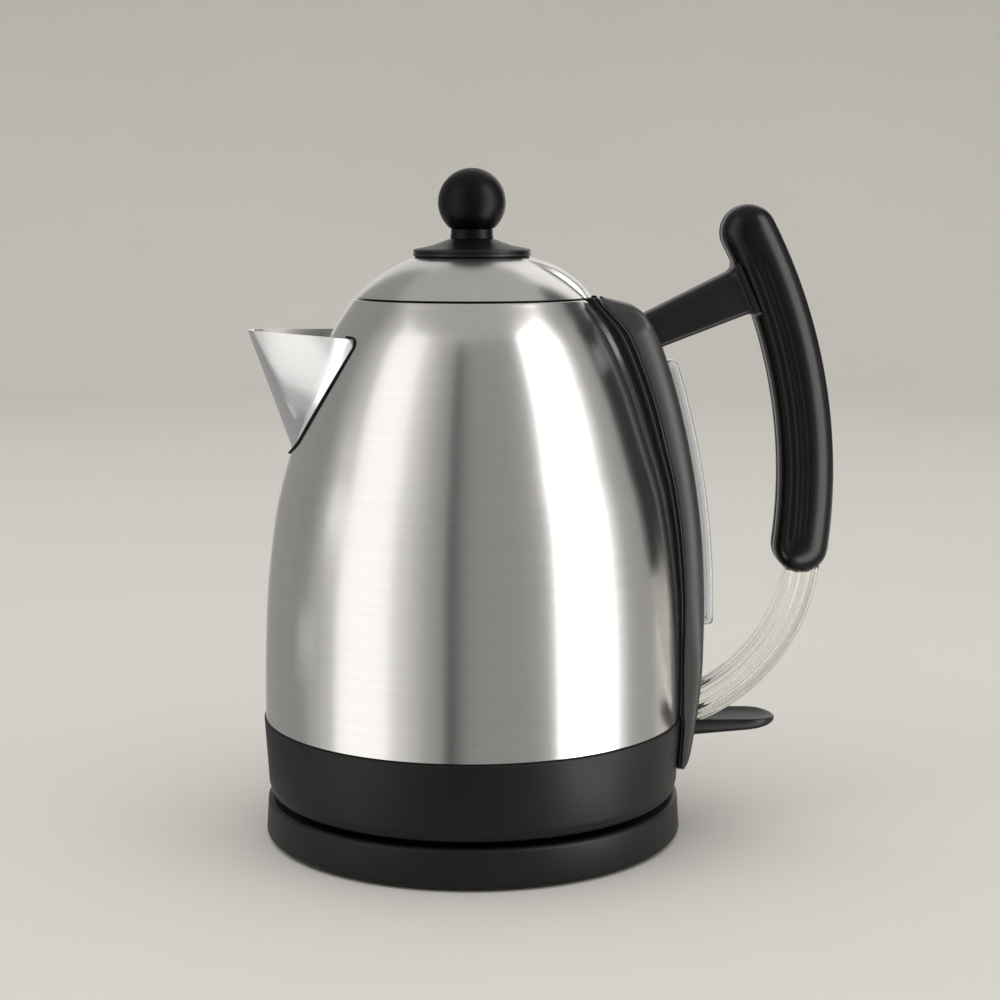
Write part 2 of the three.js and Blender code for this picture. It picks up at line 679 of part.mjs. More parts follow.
function addSpine() {
  const liftedSkin = skinSpace((z) => bracketLift(z) + GAP);
  const tubeHole = block([40, STEAM_Y - 2.5, 186], [70, STEAM_Y + 2.5, STEAM_TOP_Z + 2.6]);

  let bracket = skinSpace(bracketLift).subtract(skinSpace(() => GAP));
  const bracketLow = SPINE_BOTTOM_Z + 0.4;
  bracket = bracket.intersect(block([30, -BRACKET_HALF, bracketLow], [95, BRACKET_HALF, BODY_TOP_Z]));
  const window = block([30, -BRACKET_WINDOW_HALF, 34], [95, BRACKET_WINDOW_HALF, 187]);
  const { low, high } = BRACKET_SCREW_Z;
  const upperSeat = 57.9; // where the upper screw's head sits in its counterbore
  const upperHole = rod([40, 0, high], [70, 0, high], 1.8).add(rod([upperSeat, 0, high], [70, 0, high], 3.1));
  const lowerHole = rod([70, 0, low], [90, 0, low], 1.8).add(rod([79.3, 0, low], [90, 0, low], 2.9));
  bracket = bracket.subtract(window).subtract(upperHole).subtract(lowerHole).subtract(tubeHole);
  addPart('spine_bracket', bracket, satinBlack);

  const upperHead = rod([upperSeat + 0.1, 0, high], [upperSeat + 2.3, 0, high], 2.8);
  const upperScrew = rod([45.5, 0, high], [upperSeat + 1, 0, high], 1.5).add(upperHead);
  addPart('bracket_screw_upper', upperScrew, innerSteel);
  const lowerScrew = rod([73.5, 0, low], [80, 0, low], 1.5).add(rod([79.6, 0, low], [80.6, 0, low], 2.5));
  addPart('bracket_screw_lower', lowerScrew, innerSteel);

  const outer = slab(spineOutline(0), SPINE_HALF, 2, 2);
  const cavity = slab(spineOutline(SPINE_WALL), SPINE_HALF - SPINE_WALL);
  let housing = outer.subtract(cavity).subtract(liftedSkin);
  const { bottom, top, half } = GAUGE;
  const gaugeSlot = block([60, -half - GAP, bottom - GAP], [THROUGH, half + GAP, top + GAP]);
  const leverHalf = LEVER_HALF + 0.4;
  const leverSlot = block([78, -leverHalf, 35.4], [THROUGH, leverHalf, BAR_FOOT.bottom - GAP]);
  const barHalf = BAR_HALF_WIDTH + GAP;
  const barBox = block([60, -barHalf, BAR_FOOT.bottom - 0.4], [90, barHalf, 70]);
  const barHole = slab(barOutline(GAP), barHalf).intersect(barBox);
  const pinHole = rod([PIVOT.x, -13.5, PIVOT.z], [PIVOT.x, 13.5, PIVOT.z], PIN_RADIUS + GAP);
  for (const hole of [gaugeSlot, leverSlot, barHole, pinHole, strutRod(-8, 12, 2.0)]) {
    housing = housing.subtract(hole);
  }
  addPart('spine_housing', housing, satinBlack);
}

// Side outline between the gauge's front, which follows the skin, and its curved back.
function gaugeOutline(frontLift, backInset, low, high) {
  const backX = (z) => spineBack(z, -(GAUGE.proud - backInset));
  const front = steps(high, low, 7).map((z) => [skinRadius(z) + frontLift, z]);
  const back = steps(low + 1.2, high - 2.2, 7).map((z) => [backX(z), z]);
  const corner = [backX(high) - 2.2, high];
  return [...front, [backX(low) - 1.2, low], ...back, corner];
}

function addGauge() {
  const { bottom, top, half, wall } = GAUGE;
  const solid = slab(gaugeOutline(1.9, 0, bottom, top), half, 1, 1);
  const hollow = slab(gaugeOutline(-6, wall, bottom + wall, top - wall), half - wall);
  addPart('gauge_window', solid.subtract(hollow), clear);

  const sheet = skinSpace(() => 1.5).subtract(skinSpace(() => GAP));
  const frame = sheet.intersect(block([40, -half, bottom], [95, half, top]));
  const open = block([40, wall - half, bottom + wall], [95, half - wall, top - wall]);
  addPart('gauge_seal', frame.subtract(open), silicone);
}

function addSteamTube() {
  const radius = 2;
  const along = (z) => Math.sqrt(skinRadius(z) ** 2 - STEAM_Y ** 2) + radius + 0.6;
  const start = Math.sqrt(bodyRadius(STEAM_TOP_Z) ** 2 - STEAM_Y ** 2) + 1.8;
  const route = [
    [start, STEAM_TOP_Z],
    [start + 5, STEAM_TOP_Z - 0.5],
    [along(180) + 2, 180],
    ...[165, 145, 120, 95, 76, 62].map((z) => [along(z), z]),
  ];
  const path = new THREE.CatmullRomCurve3(route.map(([x, z]) => new THREE.Vector3(x, STEAM_Y, z)));
  const circle = (r) => aroundAxis(r, 6).map(([x, y]) => new THREE.Vector2(x, y));
  const section = new THREE.Shape(circle(radius));
  section.holes = [new THREE.Path(circle(radius - 0.7))];
  const tube = new THREE.ExtrudeGeometry(section, { steps: 14, bevelEnabled: false, extrudePath: path });
  addPart('steam_tube', toSolid(tube), silicone);
}

// ---------------------------------------------------------------- handle

// A point on the strut's axis, at a distance from its root, moved sideways by a height.
function strutPoint(distance, height = 0) {
  const tilt = radians(STRUT.tilt);
  return [
    STRUT.rootX + distance * Math.cos(tilt) - height * Math.sin(tilt),
    STRUT.rootZ + distance * Math.sin(tilt) + height * Math.cos(tilt),
  ];
}

function strutRod(from, to, radius) {
  const [x0, z0] = strutPoint(from);
  const [x1, z1] = strutPoint(to);
  return rod([x0, 0, z0], [x1, 0, z1], radius);
}

function tongueOutline(grow) {
  const height = STRUT_TONGUE.halfHeight + grow;
  const end = STRUT_TONGUE.end + grow;
  return [strutPoint(28, -height), strutPoint(end, -height), strutPoint(end, height), strutPoint(28, height)];
}

// Side outline of the grip: an arc with round ends.
function gripOutline(inset) {
  const { x, z, radius, low, high } = GRIP_ARC;
  const half = GRIP_HALF_HEIGHT - inset;
  const capAt = (angle, from, to) => {
    const [[cx, cz]] = arcPoints(x, z, radius, angle, angle, 1);
    return arcPoints(cx, cz, half, from, to, 5).slice(1, -1);
  };
  return [
    ...arcPoints(x, z, radius + half, low, high, 7),
    ...capAt(high, high, high + 180),
    ...arcPoints(x, z, radius - half, high, low, 7),
    ...capAt(low, low + 180, low + 360),
  ];
}

// Side outline of the clear bar, from inside the spine up into the grip.
function barOutline(grow) {
  const { x, z, radius } = BAR_ARC;
  const half = BAR_HALF_HEIGHT + grow;
  const foot = -70;
  const top = THREE.MathUtils.radToDeg(Math.asin((BAR_TOP_Z + grow - z) / radius));
  return [...arcPoints(x, z, radius + half, foot, top, 10), ...arcPoints(x, z, radius - half, top, foot, 10)];
}

function screwPlaces() {
  const barX = BAR_ARC.x + Math.sqrt(BAR_ARC.radius ** 2 - (BAR_SCREW_Z - BAR_ARC.z) ** 2);
  return [
    { at: strutPoint(STRUT_TONGUE.screwAt), inside: STRUT_TONGUE.half + GAP },
    { at: [barX, BAR_SCREW_Z], inside: BAR_HALF_WIDTH + GAP },
  ];
}

function acrossY([x, z], from, to, radius, facets = SCREW_ROUND) {
  return rod([x, from, z], [x, to, z], radius, facets);
}

function addGrip() {
  const whole = slab(gripOutline(0), GRIP_HALF_WIDTH, 5, 2);
  const cavity = slab(gripOutline(GRIP_WALL), GRIP_HALF_WIDTH - GRIP_WALL);
  const tongueSlot = slab(tongueOutline(GAP), STRUT_TONGUE.half + GAP);
  const barSlot = slab(barOutline(GAP), BAR_HALF_WIDTH + GAP, 0);
  const farY = GRIP_HALF_WIDTH - 1;
  for (const [name, side] of [['grip_left', -1], ['grip_right', 1]]) {
    const reach = [side * (GAP / 2), side * 40].sort((a, b) => a - b);
    let half = whole.subtract(cavity);
    for (const { at, inside } of screwPlaces()) {
      half = half.add(acrossY(at, side * inside, side * farY, 3.8, 12));
    }
    half = half.intersect(block([0, reach[0], 0], [THROUGH, reach[1], 300]));
    half = half.subtract(tongueSlot).subtract(barSlot);
    for (const { at } of screwPlaces()) {
      half = half.subtract(acrossY(at, 0, side * (side > 0 ? 20 : 10), 1.8));
      if (side > 0) {
        half = half.subtract(acrossY(at, 9.6, 20, 3.2, 12));
      }
    }
    addPart(name, half, glossBlack);
  }
  screwPlaces().forEach(({ at }, i) => {
    const head = acrossY(at, 9.8, 11.2, 2.9);
    addPart(`grip_screw_${i + 1}`, head.add(acrossY(at, -9.5, 10, 1.5)), innerSteel);
  });
}

function addStrut() {
  const { rootHalf, endHalf, length, halfWidth } = STRUT;
  const outline = [
    strutPoint(-6, -rootHalf),
    strutPoint(length + 8, -endHalf - 0.4),
    strutPoint(length + 8, endHalf + 0.4),
    strutPoint(-6, rootHalf),
  ];
  let strut = slab(outline, halfWidth, 2.5, 2);
  strut = strut.subtract(slab(spineOutline(-GAP), 30)).subtract(slab(gripOutline(-GAP), 30));
  strut = strut.intersect(block([60, -30, 150], [108, 30, 230]));
  strut = strut.add(slab(tongueOutline(0), STRUT_TONGUE.half));
  strut = strut.subtract(strutRod(-8, 12, 2.0));
  strut = strut.subtract(acrossY(strutPoint(STRUT_TONGUE.screwAt), -10, 10, 1.8));
  addPart('upper_strut', strut, satinBlack);
  addPart('strut_screw', strutRod(-5, 10.5, 1.6).add(strutRod(-6.2, -4.4, 2.6)), innerSteel);
}

function addBar() {
  const { x, thickness, half, bottom, top } = BAR_FOOT;
  const box = block([x, -BAR_HALF_WIDTH, bottom], [THROUGH, BAR_HALF_WIDTH, THROUGH]);
  let bar = slab(barOutline(0), BAR_HALF_WIDTH, 1.5, 1).intersect(box);
  bar = bar.add(block([x, -half, bottom], [x + thickness, half, top]));
  bar = bar.subtract(acrossY(screwPlaces()[1].at, -10, 10, 1.8));
  addPart('lower_bar', bar, clear);
  addPart('lamp', rod([81.8, 0, top + GAP], [81.8, 0, 67], 1.6), pale);
}

// ---------------------------------------------------------------- switch

function addSwitch() {
  const side = [
    [83.4, 38.2],
    [86.6, 37.8],
    [94, 38.9],
    [104, 39.9],
    [111.6, 40.9],
    [LEVER_TIP_X, 42.7],
    [LEVER_TIP_X - 1, 43.7],
    [110, 44.3],
    [96, 44.4],
    [90, 44.0],
    [83.4, 44.0],
  ];
  const tipCentre = LEVER_TIP_X - LEVER_HALF;
  const bow = arcPoints(tipCentre, 0, LEVER_HALF, -90, 90, 10);
  const plan = [[70, -LEVER_HALF], ...bow, [70, LEVER_HALF]];
  const planRing = (z) => plan.map(([x, y]) => [x, y, z]);
  const paddle = slab(side, LEVER_HALF).intersect(lofted([planRing(30), planRing(60)]));
  const arm = slab(
    [
      [64, 39.6],
      [80, 39.2],
      [84, 38.6],
      [84, 43.8],
      [80, 43.9],
      [64, 42.8],
    ],
    LEVER_ARM_HALF,
  );
  const hub = rod([PIVOT.x, -LEVER_ARM_HALF, PIVOT.z], [PIVOT.x, LEVER_ARM_HALF, PIVOT.z], 2.9, 12);
  const bore = rod([PIVOT.x, -20, PIVOT.z], [PIVOT.x, 20, PIVOT.z], PIN_RADIUS + GAP, 12);
  addPart('switch_lever', paddle.add(arm).add(hub).subtract(bore), satinBlack);
  const pin = rod([PIVOT.x, -PIN_HALF_LENGTH, PIVOT.z], [PIVOT.x, PIN_HALF_LENGTH, PIVOT.z], PIN_RADIUS);
  addPart('switch_pin', pin, innerSteel);
}

// ---------------------------------------------------------------- lid

// Height of a sphere about the lid's centre, above a radius.
function sphereZ(r, radius) {
  return LID_SPHERE_Z + Math.sqrt(radius * radius - r * r);
}

function addLid() {
  const holeRadius = 6;
  const inner = LID_SPHERE_RADIUS - LID_WALL;
  const radii = [LID_RADIUS, 37, 28, 17, holeRadius];
  const top = radii.map((r) => [r, sphereZ(r, LID_SPHERE_RADIUS)]);
  const under = [...radii.slice(1).reverse(), LID_RADIUS - 0.9].map((r) => [r, sphereZ(r, inner)]);
  const edge = [LID_RADIUS - 0.9, BODY_TOP_Z + GAP];
  const shell = turned([[LID_RADIUS, BODY_TOP_Z + GAP], ...top, ...under.slice(0, -1), edge], ROUND);
  addPart('lid_shell', shell, brushedSteel);

  const seat = LID_SPHERE_RADIUS + GAP;
  const flange = turned(
    [
      [holeRadius, sphereZ(holeRadius, seat)],
      [14, sphereZ(14, seat)],
      [FLANGE_RADIUS - 0.3, sphereZ(FLANGE_RADIUS - 0.3, seat)],
      [FLANGE_RADIUS, 219],
      [FLANGE_RADIUS, 220.7],
      [FLANGE_RADIUS - 0.7, 221.3],
      [9.6, 224.5],
      [8.6, 224.8],
      [holeRadius, 224.8],
    ],
    LID_ROUND,
  );
  addPart('lid_flange', flange, satinBlack);

  const neckAngle = Math.asin(NECK_RADIUS / BALL_RADIUS);
  const ball = steps(-Math.PI / 2 + neckAngle, Math.PI / 2, 8).map((angle) => [
    angle === Math.PI / 2 ? 0 : BALL_RADIUS * Math.cos(angle),
    BALL_Z + BALL_RADIUS * Math.sin(angle),
  ]);
  const knob = turned([[0, 214], [5.7, 214], [5.7, 225.1], [8.6, 225.1], ...ball], LID_ROUND);
  addPart('lid_knob', knob.subtract(rod([0, 0, 210], [0, 0, 236], 2.1)), satinBlack);

  let liner = turned([
    [0, LINER_TOP_Z - 1.6],
    [LINER_RADIUS - 1.8, LINER_TOP_Z - 1.6],
    [LINER_RADIUS - 1.8, 191],
    [LINER_RADIUS, 191],
    [LINER_RADIUS, LINER_TOP_Z],
    [5, LINER_TOP_Z],
    [5, 213.7],
    [0, 213.7],
  ]);
  liner = liner.subtract(rod([0, 0, 190], [0, 0, 220], 2.1));
  for (const [x, y] of aroundAxis(26, 4, 45)) {
    liner = liner.subtract(rod([x, y, 190], [x, y, 210], 2.5));
  }
  addPart('lid_liner', liner, mattBlack);
  const seal = turned([
    [LINER_RADIUS + GAP, 197.4],
    [MOUTH_RADIUS - GAP, 197.9],
    [MOUTH_RADIUS - GAP, 200.1],
    [LINER_RADIUS + GAP, 200.6],
  ]);
  addPart('lid_seal', seal, silicone);
  addPart('knob_screw', uprightScrew([0, 0], 198.4, 2.2, 234, 4, 1.7), innerSteel);
}

// ---------------------------------------------------------------- filter behind the spout

// Moves a solid from the filter's own frame, where it stands upright at the origin, to its place.
function leaned(solid) {
  return solid.rotate([0, FILTER.tilt, 0]).translate([FILTER.x, 0, FILTER.z]);
}

function addFilter() {
  const { half, length, thickness, border } = FILTER;
  const rail = { in: 1.6, out: 2.4, front: -1.1, back: thickness + 1.1 };
  const outer = block([rail.front, -half - rail.out, -2.6], [rail.back, half + rail.out, length - 1]);
  const passage = block([-5, -half + rail.in, 2], [5, half - rail.in, length + 5]);
  const groove = block([-GAP, -half - GAP, -GAP], [thickness + GAP, half + GAP, length + 5]);
  addPart('filter_holder', leaned(outer.subtract(passage).subtract(groove)), mattBlack);

  const frame = block([0, -half, 0], [thickness, half, length]);
  const window = block([-5, -half + border, border], [5, half - border, length - border]);
  addPart('filter_frame', leaned(frame.subtract(window)), mattBlack);

  const halfMesh = half - border - GAP;
  let mesh = block([0.5, -halfMesh, border + GAP], [0.9, halfMesh, length - border - GAP]);
  for (const y of steps(-10, 10, 2)) {
    for (const z of steps(9, 21, 1)) {
      mesh = mesh.subtract(block([-5, y - 3, z - 4], [5, y + 3, z + 4]));
    }
  }
  addPart('filter_mesh', leaned(mesh), innerSteel);
}

addBase();
addConnectors();
addLowerHousing();
addElement();
addBody();
addSpout();
addSpine();
addGauge();
addSteamTube();
addGrip();
addStrut();
addBar();
addSwitch();
addLid();
addFilter();

export default kettle;
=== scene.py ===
"""Electric kettle: the detailed look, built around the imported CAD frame.

Shapes are written in millimetres and become metres when a mesh is made. Each piece stands for the CAD
node that it is named after: it rides on that node's body and takes that node's material slot.
"""

import json
import math

import bmesh
import bpy
from mathutils import Matrix, Vector


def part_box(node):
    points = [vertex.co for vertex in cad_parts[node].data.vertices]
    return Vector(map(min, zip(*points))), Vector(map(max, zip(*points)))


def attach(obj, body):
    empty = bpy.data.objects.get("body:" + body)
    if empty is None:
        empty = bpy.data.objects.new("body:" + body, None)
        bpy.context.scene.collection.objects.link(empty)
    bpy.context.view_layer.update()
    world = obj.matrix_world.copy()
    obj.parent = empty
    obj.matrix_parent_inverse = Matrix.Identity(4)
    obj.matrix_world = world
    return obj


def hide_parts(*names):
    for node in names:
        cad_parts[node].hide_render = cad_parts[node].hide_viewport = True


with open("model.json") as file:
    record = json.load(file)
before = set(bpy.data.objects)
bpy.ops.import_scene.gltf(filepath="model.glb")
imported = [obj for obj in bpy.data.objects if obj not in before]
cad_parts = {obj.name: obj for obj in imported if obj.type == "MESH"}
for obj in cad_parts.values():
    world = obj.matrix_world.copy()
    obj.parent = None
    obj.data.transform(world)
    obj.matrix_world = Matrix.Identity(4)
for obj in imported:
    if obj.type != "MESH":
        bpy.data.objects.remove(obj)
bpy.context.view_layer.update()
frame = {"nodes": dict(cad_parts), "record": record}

MM = 0.001
RECORD = frame["record"]
BODY_OF = {node: body for body, nodes in RECORD["behaviour"]["bodies"].items() for node in nodes}
SLOT_OF = {part["node"]: part["material_slot"] for part in RECORD["subparts"]}


def extent(node):
    """Lowest and highest corner of a CAD node, in millimetres."""
    low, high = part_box(node)
    return low / MM, high / MM


def middle(node):
    """Centre of a CAD node's box, in millimetres."""
    low, high = extent(node)
    return (low + high) / 2


# ---------------- sizes taken from the frame

GAP = 0.3  # clearance between pieces that touch
BASE_RADIUS = extent("base_cover")[1].x
BASE_BOTTOM = extent("base_cover")[0].z
BASE_RING_TOP = extent("base_cover")[1].z
HOUSING_BOTTOM = extent("lower_housing")[0].z
HOUSING_RADIUS = extent("lower_housing")[1].x
STEEL_BOTTOM, STEEL_TOP = (corner.z for corner in extent("body_shell"))
LID_BOTTOM = extent("lid_shell")[0].z
LID_RADIUS = extent("lid_shell")[1].x
FLANGE_RADIUS = extent("lid_flange")[1].x
FLANGE_TOP = extent("lid_flange")[1].z
KNOB_TOP = extent("lid_knob")[1].z
SPOUT_TIP_X = extent("spout")[0].x
SPOUT_TOP = extent("spout")[1].z
SPINE_BOTTOM = extent("spine_housing")[0].z
SPINE_HALF = extent("spine_housing")[1].y
TRIM_HALF = extent("spine_bracket")[1].y
GAUGE_LOW, GAUGE_HIGH = extent("gauge_window")
GRIP_HALF_WIDTH = extent("grip_right")[1].y
BAR_LOW = extent("lower_bar")[0]
LEVER_HIGH = extent("switch_lever")[1]

# ---------------- shapes shared with the CAD source

SEAM_Z = 45.9  # where the lower housing meets the steel
DECK_Z = 13.5
STEEL_WALL = 1.2
BODY_OUTLINE = [
    (79.0, 46.2),
    (78.7, 70),
    (77.2, 98),
    (73.1, 128),
    (67.2, 150),
    (60.2, 172),
    (52.4, 190.3),
    (44.3, 202.9),
]
LID_SPHERE_RADIUS = 60
LID_SPHERE_Z = 162.3
BALL_RADIUS = 12.6
BALL_Z = KNOB_TOP - BALL_RADIUS
SPOUT_NOSE_SLOPE = 0.368
SPOUT_BOTTOM_Z = 145
SPOUT_SEAM = (-64.5, 149.4, 0.6)  # a sloping plane: x, z, and the rise in x by height
POUR_HOLE = [(-9, 154), (9, 154), (15, 181), (-15, 181)]
GAUGE_PORTS = (90, 130, 170)
GAUGE_WALL = 2.2
GAUGE_PROUD = 3.6  # how far the gauge stands behind the spine's back
SPINE_ARC = (-215.4, 85.9, 303)  # centre x, centre z, radius
# How far the spine's front edge stands off the skin, by height.
TRIM_LIFT = [
    (66, 1.9),
    (91, 3.4),
    (110, 4.3),
    (129, 4.9),
    (148, 6.0),
    (162, 6.8),
    (174, 7.1),
    (192, 7.6),
    (203, 4.2),
]
GRIP_ARC = (-74, 134.5, 199.4)
GRIP_ENDS = (-7.0, 27.8)  # degrees
GRIP_HALF_HEIGHT = 10.3
STRUT_ROOT = (68, 191.6)
STRUT_TILT = 23.9
BAR_ARC = (58, 110, 67.1)
BAR_HALF_HEIGHT = 6.1
BAR_HALF_WIDTH = 7.0
FILTER_PLACE = (-60, 152)
FILTER_TILT = 19.9

# ---------------- outlines


def steps(low, high, count):
    """Evenly spaced values from low to high, both ends included."""
    return [low + (high - low) * i / count for i in range(count + 1)]


def clamp(value, low=0.0, high=1.0):
    return max(low, min(high, value))


def smooth(value):
    """Rises smoothly from 0 to 1 as value does."""
    t = clamp(value)
    return t * t * (3 - 2 * t)


def spline(points, per_span=16):
    """A uniform Catmull-Rom curve through 2-D points."""
    last = len(points) - 1
    curve = []
    for i in range(last):
        before, start, end, after = (points[k] for k in (max(i - 1, 0), i, i + 1, min(i + 2, last)))
        for t in steps(0, 1, per_span)[:-1]:
            point = []
            for b, s, e, a in zip(before, start, end, after):
                leave, arrive = (e - b) / 2, (a - s) / 2
                cubic = (2 * s - 2 * e + leave + arrive) * t**3
                square = (3 * e - 3 * s - 2 * leave - arrive) * t**2
                point.append(cubic + square + leave * t + s)
            curve.append(tuple(point))
    return [*curve, tuple(points[-1])]


def interpolate(pairs, at):
    """The value at a position, from (position, value) pairs in rising order."""
    if at <= pairs[0][0]:
        return pairs[0][1]
    for (low, start), (high, end) in zip(pairs, pairs[1:]):
        if at <= high:
            return start + (end - start) * (at - low) / (high - low)
    return pairs[-1][1]


def rounded(corners, segments=6):
    """A closed outline from (x, z, radius) corners, with each corner turned into an arc."""
    outline = []
    count = len(corners)
    for i, (x, z, radius) in enumerate(corners):
        corner = Vector((x, z))
        before = Vector(corners[i - 1][:2]) - corner
        after = Vector(corners[(i + 1) % count][:2]) - corner
        half = before.angle(after) / 2
        if radius <= 0 or half > math.radians(89):
            outline.append((x, z))
            continue
        reach = min(radius / math.tan(half), 0.49 * before.length, 0.49 * after.length)
        radius = reach * math.tan(half)
        bisector = (before.normalized() + after.normalized()).normalized()
        centre = corner + bisector * (radius / math.sin(half))
        start = corner + before.normalized() * reach - centre
        end = corner + after.normalized() * reach - centre
        turn = start.angle_signed(end)
        for t in steps(0, 1, segments):
            outline.append(tuple(centre + Matrix.Rotation(-turn * t, 2) @ start))
    return outline


def polar(radius, angle):
    """The two coordinates of a point at a distance and an angle in radians."""
    return radius * math.cos(angle), radius * math.sin(angle)


def with_mirror(side):
    """An outline across the middle plane, from its half on one side."""
    return [*side, *((along, -y) for along, y in reversed(side))]


def arc(centre_x, centre_z, radius, low, high, count):
    """Points of an arc in the XZ plane, between two angles in degrees."""
    spokes = [polar(radius, math.radians(angle)) for angle in steps(low, high, count)]
    return [(centre_x + x, centre_z + z) for x, z in spokes]


BODY_CURVE = [(z, r) for r, z in spline(BODY_OUTLINE)]


def body_radius(z):
    """Outer radius of the steel body at a height."""
    return interpolate(BODY_CURVE, z)


def skin_radius(z):
    """Outer radius of the lower housing below the seam and of the steel above it."""
    if z > SEAM_Z:
        return body_radius(z)
    return HOUSING_RADIUS - (SEAM_Z - z) * 0.062


def spine_back(z, out=0.0):
    """X of the spine's back edge at a height."""
    centre_x, centre_z, radius = SPINE_ARC
    return centre_x + math.sqrt((radius + out) ** 2 - (z - centre_z) ** 2)


# ---------------- meshes


def grid(rows, wrap_rows=False, wrap_columns=True, caps=False):
    """Points and quads over rows of equal length; caps close the first and last row."""
    width = len(rows[0])
    points = [point for row in rows for point in row]
    faces = []
    for r in range(len(rows) if wrap_rows else len(rows) - 1):
        below, above = r * width, ((r + 1) % len(rows)) * width
        for c in range(width if wrap_columns else width - 1):
            d = (c + 1) % width
            faces.append((below + c, below + d, above + d, above + c))
    if caps:
        faces.append(tuple(reversed(range(width))))
        faces.append(tuple(range(len(points) - width, len(points))))
    return points, faces


def turned_rows(profile, facets):
    """The (radius, height) points of a profile at evenly spaced angles about +Z."""
    turns = [math.radians(angle) for angle in steps(0, 360, facets)[:-1]]
    return [[(*polar(radius, angle), z) for radius, z in profile] for angle in turns]


def turned(profile, facets=192):
    """A closed profile turned about +Z."""
    return grid(turned_rows(profile, facets), wrap_rows=True)


def slab(outline_at, profile):
    """A plate across Y from (inset, y) steps; outline_at(inset) gives its [x, z] outline."""
    rows = [[(x, y, z) for x, z in outline_at(inset)] for inset, y in profile]
    return grid(rows, caps=True)


def merged(*shapes):
    """Several (points, faces) shapes as one."""
    points, faces = [], []
    for more_points, more_faces in shapes:
        offset = len(points)
        points.extend(more_points)
        faces.extend(tuple(i + offset for i in face) for face in more_faces)
    return points, faces


def placed(shape, matrix):
    points, faces = shape
    return [tuple(matrix @ Vector(point)) for point in points], faces


def mesh_object(name, shape, sharp=35):
    """A smooth closed mesh in metres, with creases kept above an angle in degrees."""
    points, faces = shape
    mesh = bpy.data.meshes.new(name)
    mesh.from_pydata([Vector(point) * MM for point in points], [], faces)
    editable = bmesh.new()
    editable.from_mesh(mesh)
    bmesh.ops.remove_doubles(editable, verts=editable.verts, dist=1e-6)
    bmesh.ops.recalc_face_normals(editable, faces=editable.faces)
    editable.to_mesh(mesh)
    editable.free()
    obj = bpy.data.objects.new(name, mesh)
    bpy.context.scene.collection.objects.link(obj)
    shade(obj, sharp)
    return obj


def shade(obj, sharp=35):
    for face in obj.data.polygons:
        face.use_smooth = True
    obj.data.set_sharp_from_angle(angle=math.radians(sharp))


def cut(obj, *cutters, sharp=35):
    """Subtracts closed shapes from an object's mesh."""
    tools = [mesh_object(f"{obj.name}_cutter", shape) for shape in cutters]
    for tool in tools:
        modifier = obj.modifiers.new("cut", "BOOLEAN")
        modifier.operation = "DIFFERENCE"
        modifier.solver = "EXACT"
        modifier.object = tool
    evaluated = obj.evaluated_get(bpy.context.evaluated_depsgraph_get())
    mesh = bpy.data.meshes.new_from_object(evaluated)
    obj.modifiers.clear()
    obj.data = mesh
    for tool in tools:
        bpy.data.objects.remove(tool)
    shade(obj, sharp)


def stand_for(obj, node):
    """The piece takes a CAD node's place, body, slot and material."""
    obj.data.materials.clear()
    obj.data.materials.append(MATERIALS[FINISH_OF[node]])
    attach(obj, BODY_OF[node])
    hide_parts(node)


def fine(node, shape, *cutters, sharp=35):
    """Makes the detailed piece of a CAD node, cut by closed shapes."""
    obj = mesh_object(f"fine_{node}", shape, sharp)
    if cutters:
        cut(obj, *cutters, sharp=sharp)
    stand_for(obj, node)
    return obj


def facing(place, direction):
    """The matrix that stands +Z along a direction at a place."""
    return Matrix.Translation(place) @ direction.to_track_quat("Z", "Y").to_matrix().to_4x4()


def rod(start, end, radius, facets=32):
    """A straight round rod between two points."""
    along = Vector(end) - Vector(start)
    shape = turned([(0, 0), (radius, 0), (radius, along.length), (0, along.length)], facets)
    return placed(shape, facing(start, along))


def block(low, high):
    """A plain box, used only to cut with."""
    ring = [(low[0], low[1]), (high[0], low[1]), (high[0], high[1]), (low[0], high[1])]
    return grid([[(x, y, z) for x, y in ring] for z in (low[2], high[2])], caps=True)


def screw(node, place, direction, head_radius, head_height, shank_radius, length):
    """A pan-head screw with a cross recess, from its head's outer face, pointing into the work."""
    profile = rounded([
        (0, 0, 0),
        (head_radius, 0, head_height * 0.6),
        (head_radius, head_height, 0.1),
        (shank_radius, head_height, 0.15),
        (shank_radius, length, 0.3),
        (0, length, 0),
    ])
    spot = facing(place, Vector(direction))
    arm, slot = head_radius * 0.55, head_radius * 0.14
    across = block((-arm, -slot, -1), (arm, slot, head_height * 0.6))
    along = block((-slot, -arm, -1), (slot, arm, head_height * 0.6))
    fine(node, placed(turned(profile, 48), spot), placed(across, spot), placed(along, spot))


def make_ring(node, inner, low_edge=0.2, high_edge=0.2, facets=96):
    """A flat ring, or a disc where inner is 0, as large as its CAD node, with rounded edges."""
    low, high = extent(node)
    centre = middle(node)
    outer = high.x - centre.x
    corners = [(outer, low.z, low_edge), (outer, high.z, high_edge)]
    if inner:
        profile = [(inner, low.z, low_edge), *corners, (inner, high.z, high_edge)]
    else:
        profile = [(0, low.z, 0), *corners, (0, high.z, 0)]
    centre.z = 0
    fine(node, placed(turned(rounded(profile), facets), Matrix.Translation(centre)))


def cover_screw(node, start, seat, end):
    """A screw put in from below; returns what cuts its counterbore, up to its seat, and its hole."""
    low, high = extent(node)
    x, y, _ = middle(node)
    screw(node, (x, y, low.z), (0, 0, 1), 3.1, 1.1, 1.5, high.z - low.z)
    return rod((x, y, start), (x, y, seat), 3.5), rod((x, y, start), (x, y, end), 1.8)


# ---------------- materials


def new_material(name, color, metallic=0.0, roughness=0.5):
    material = bpy.data.materials.new(name)
    material.use_nodes = True
    shader = material.node_tree.nodes["Principled BSDF"]
    shader.inputs["Base Color"].default_value = (*color, 1)
    shader.inputs["Metallic"].default_value = metallic
    shader.inputs["Roughness"].default_value = roughness
    return material, material.node_tree, shader


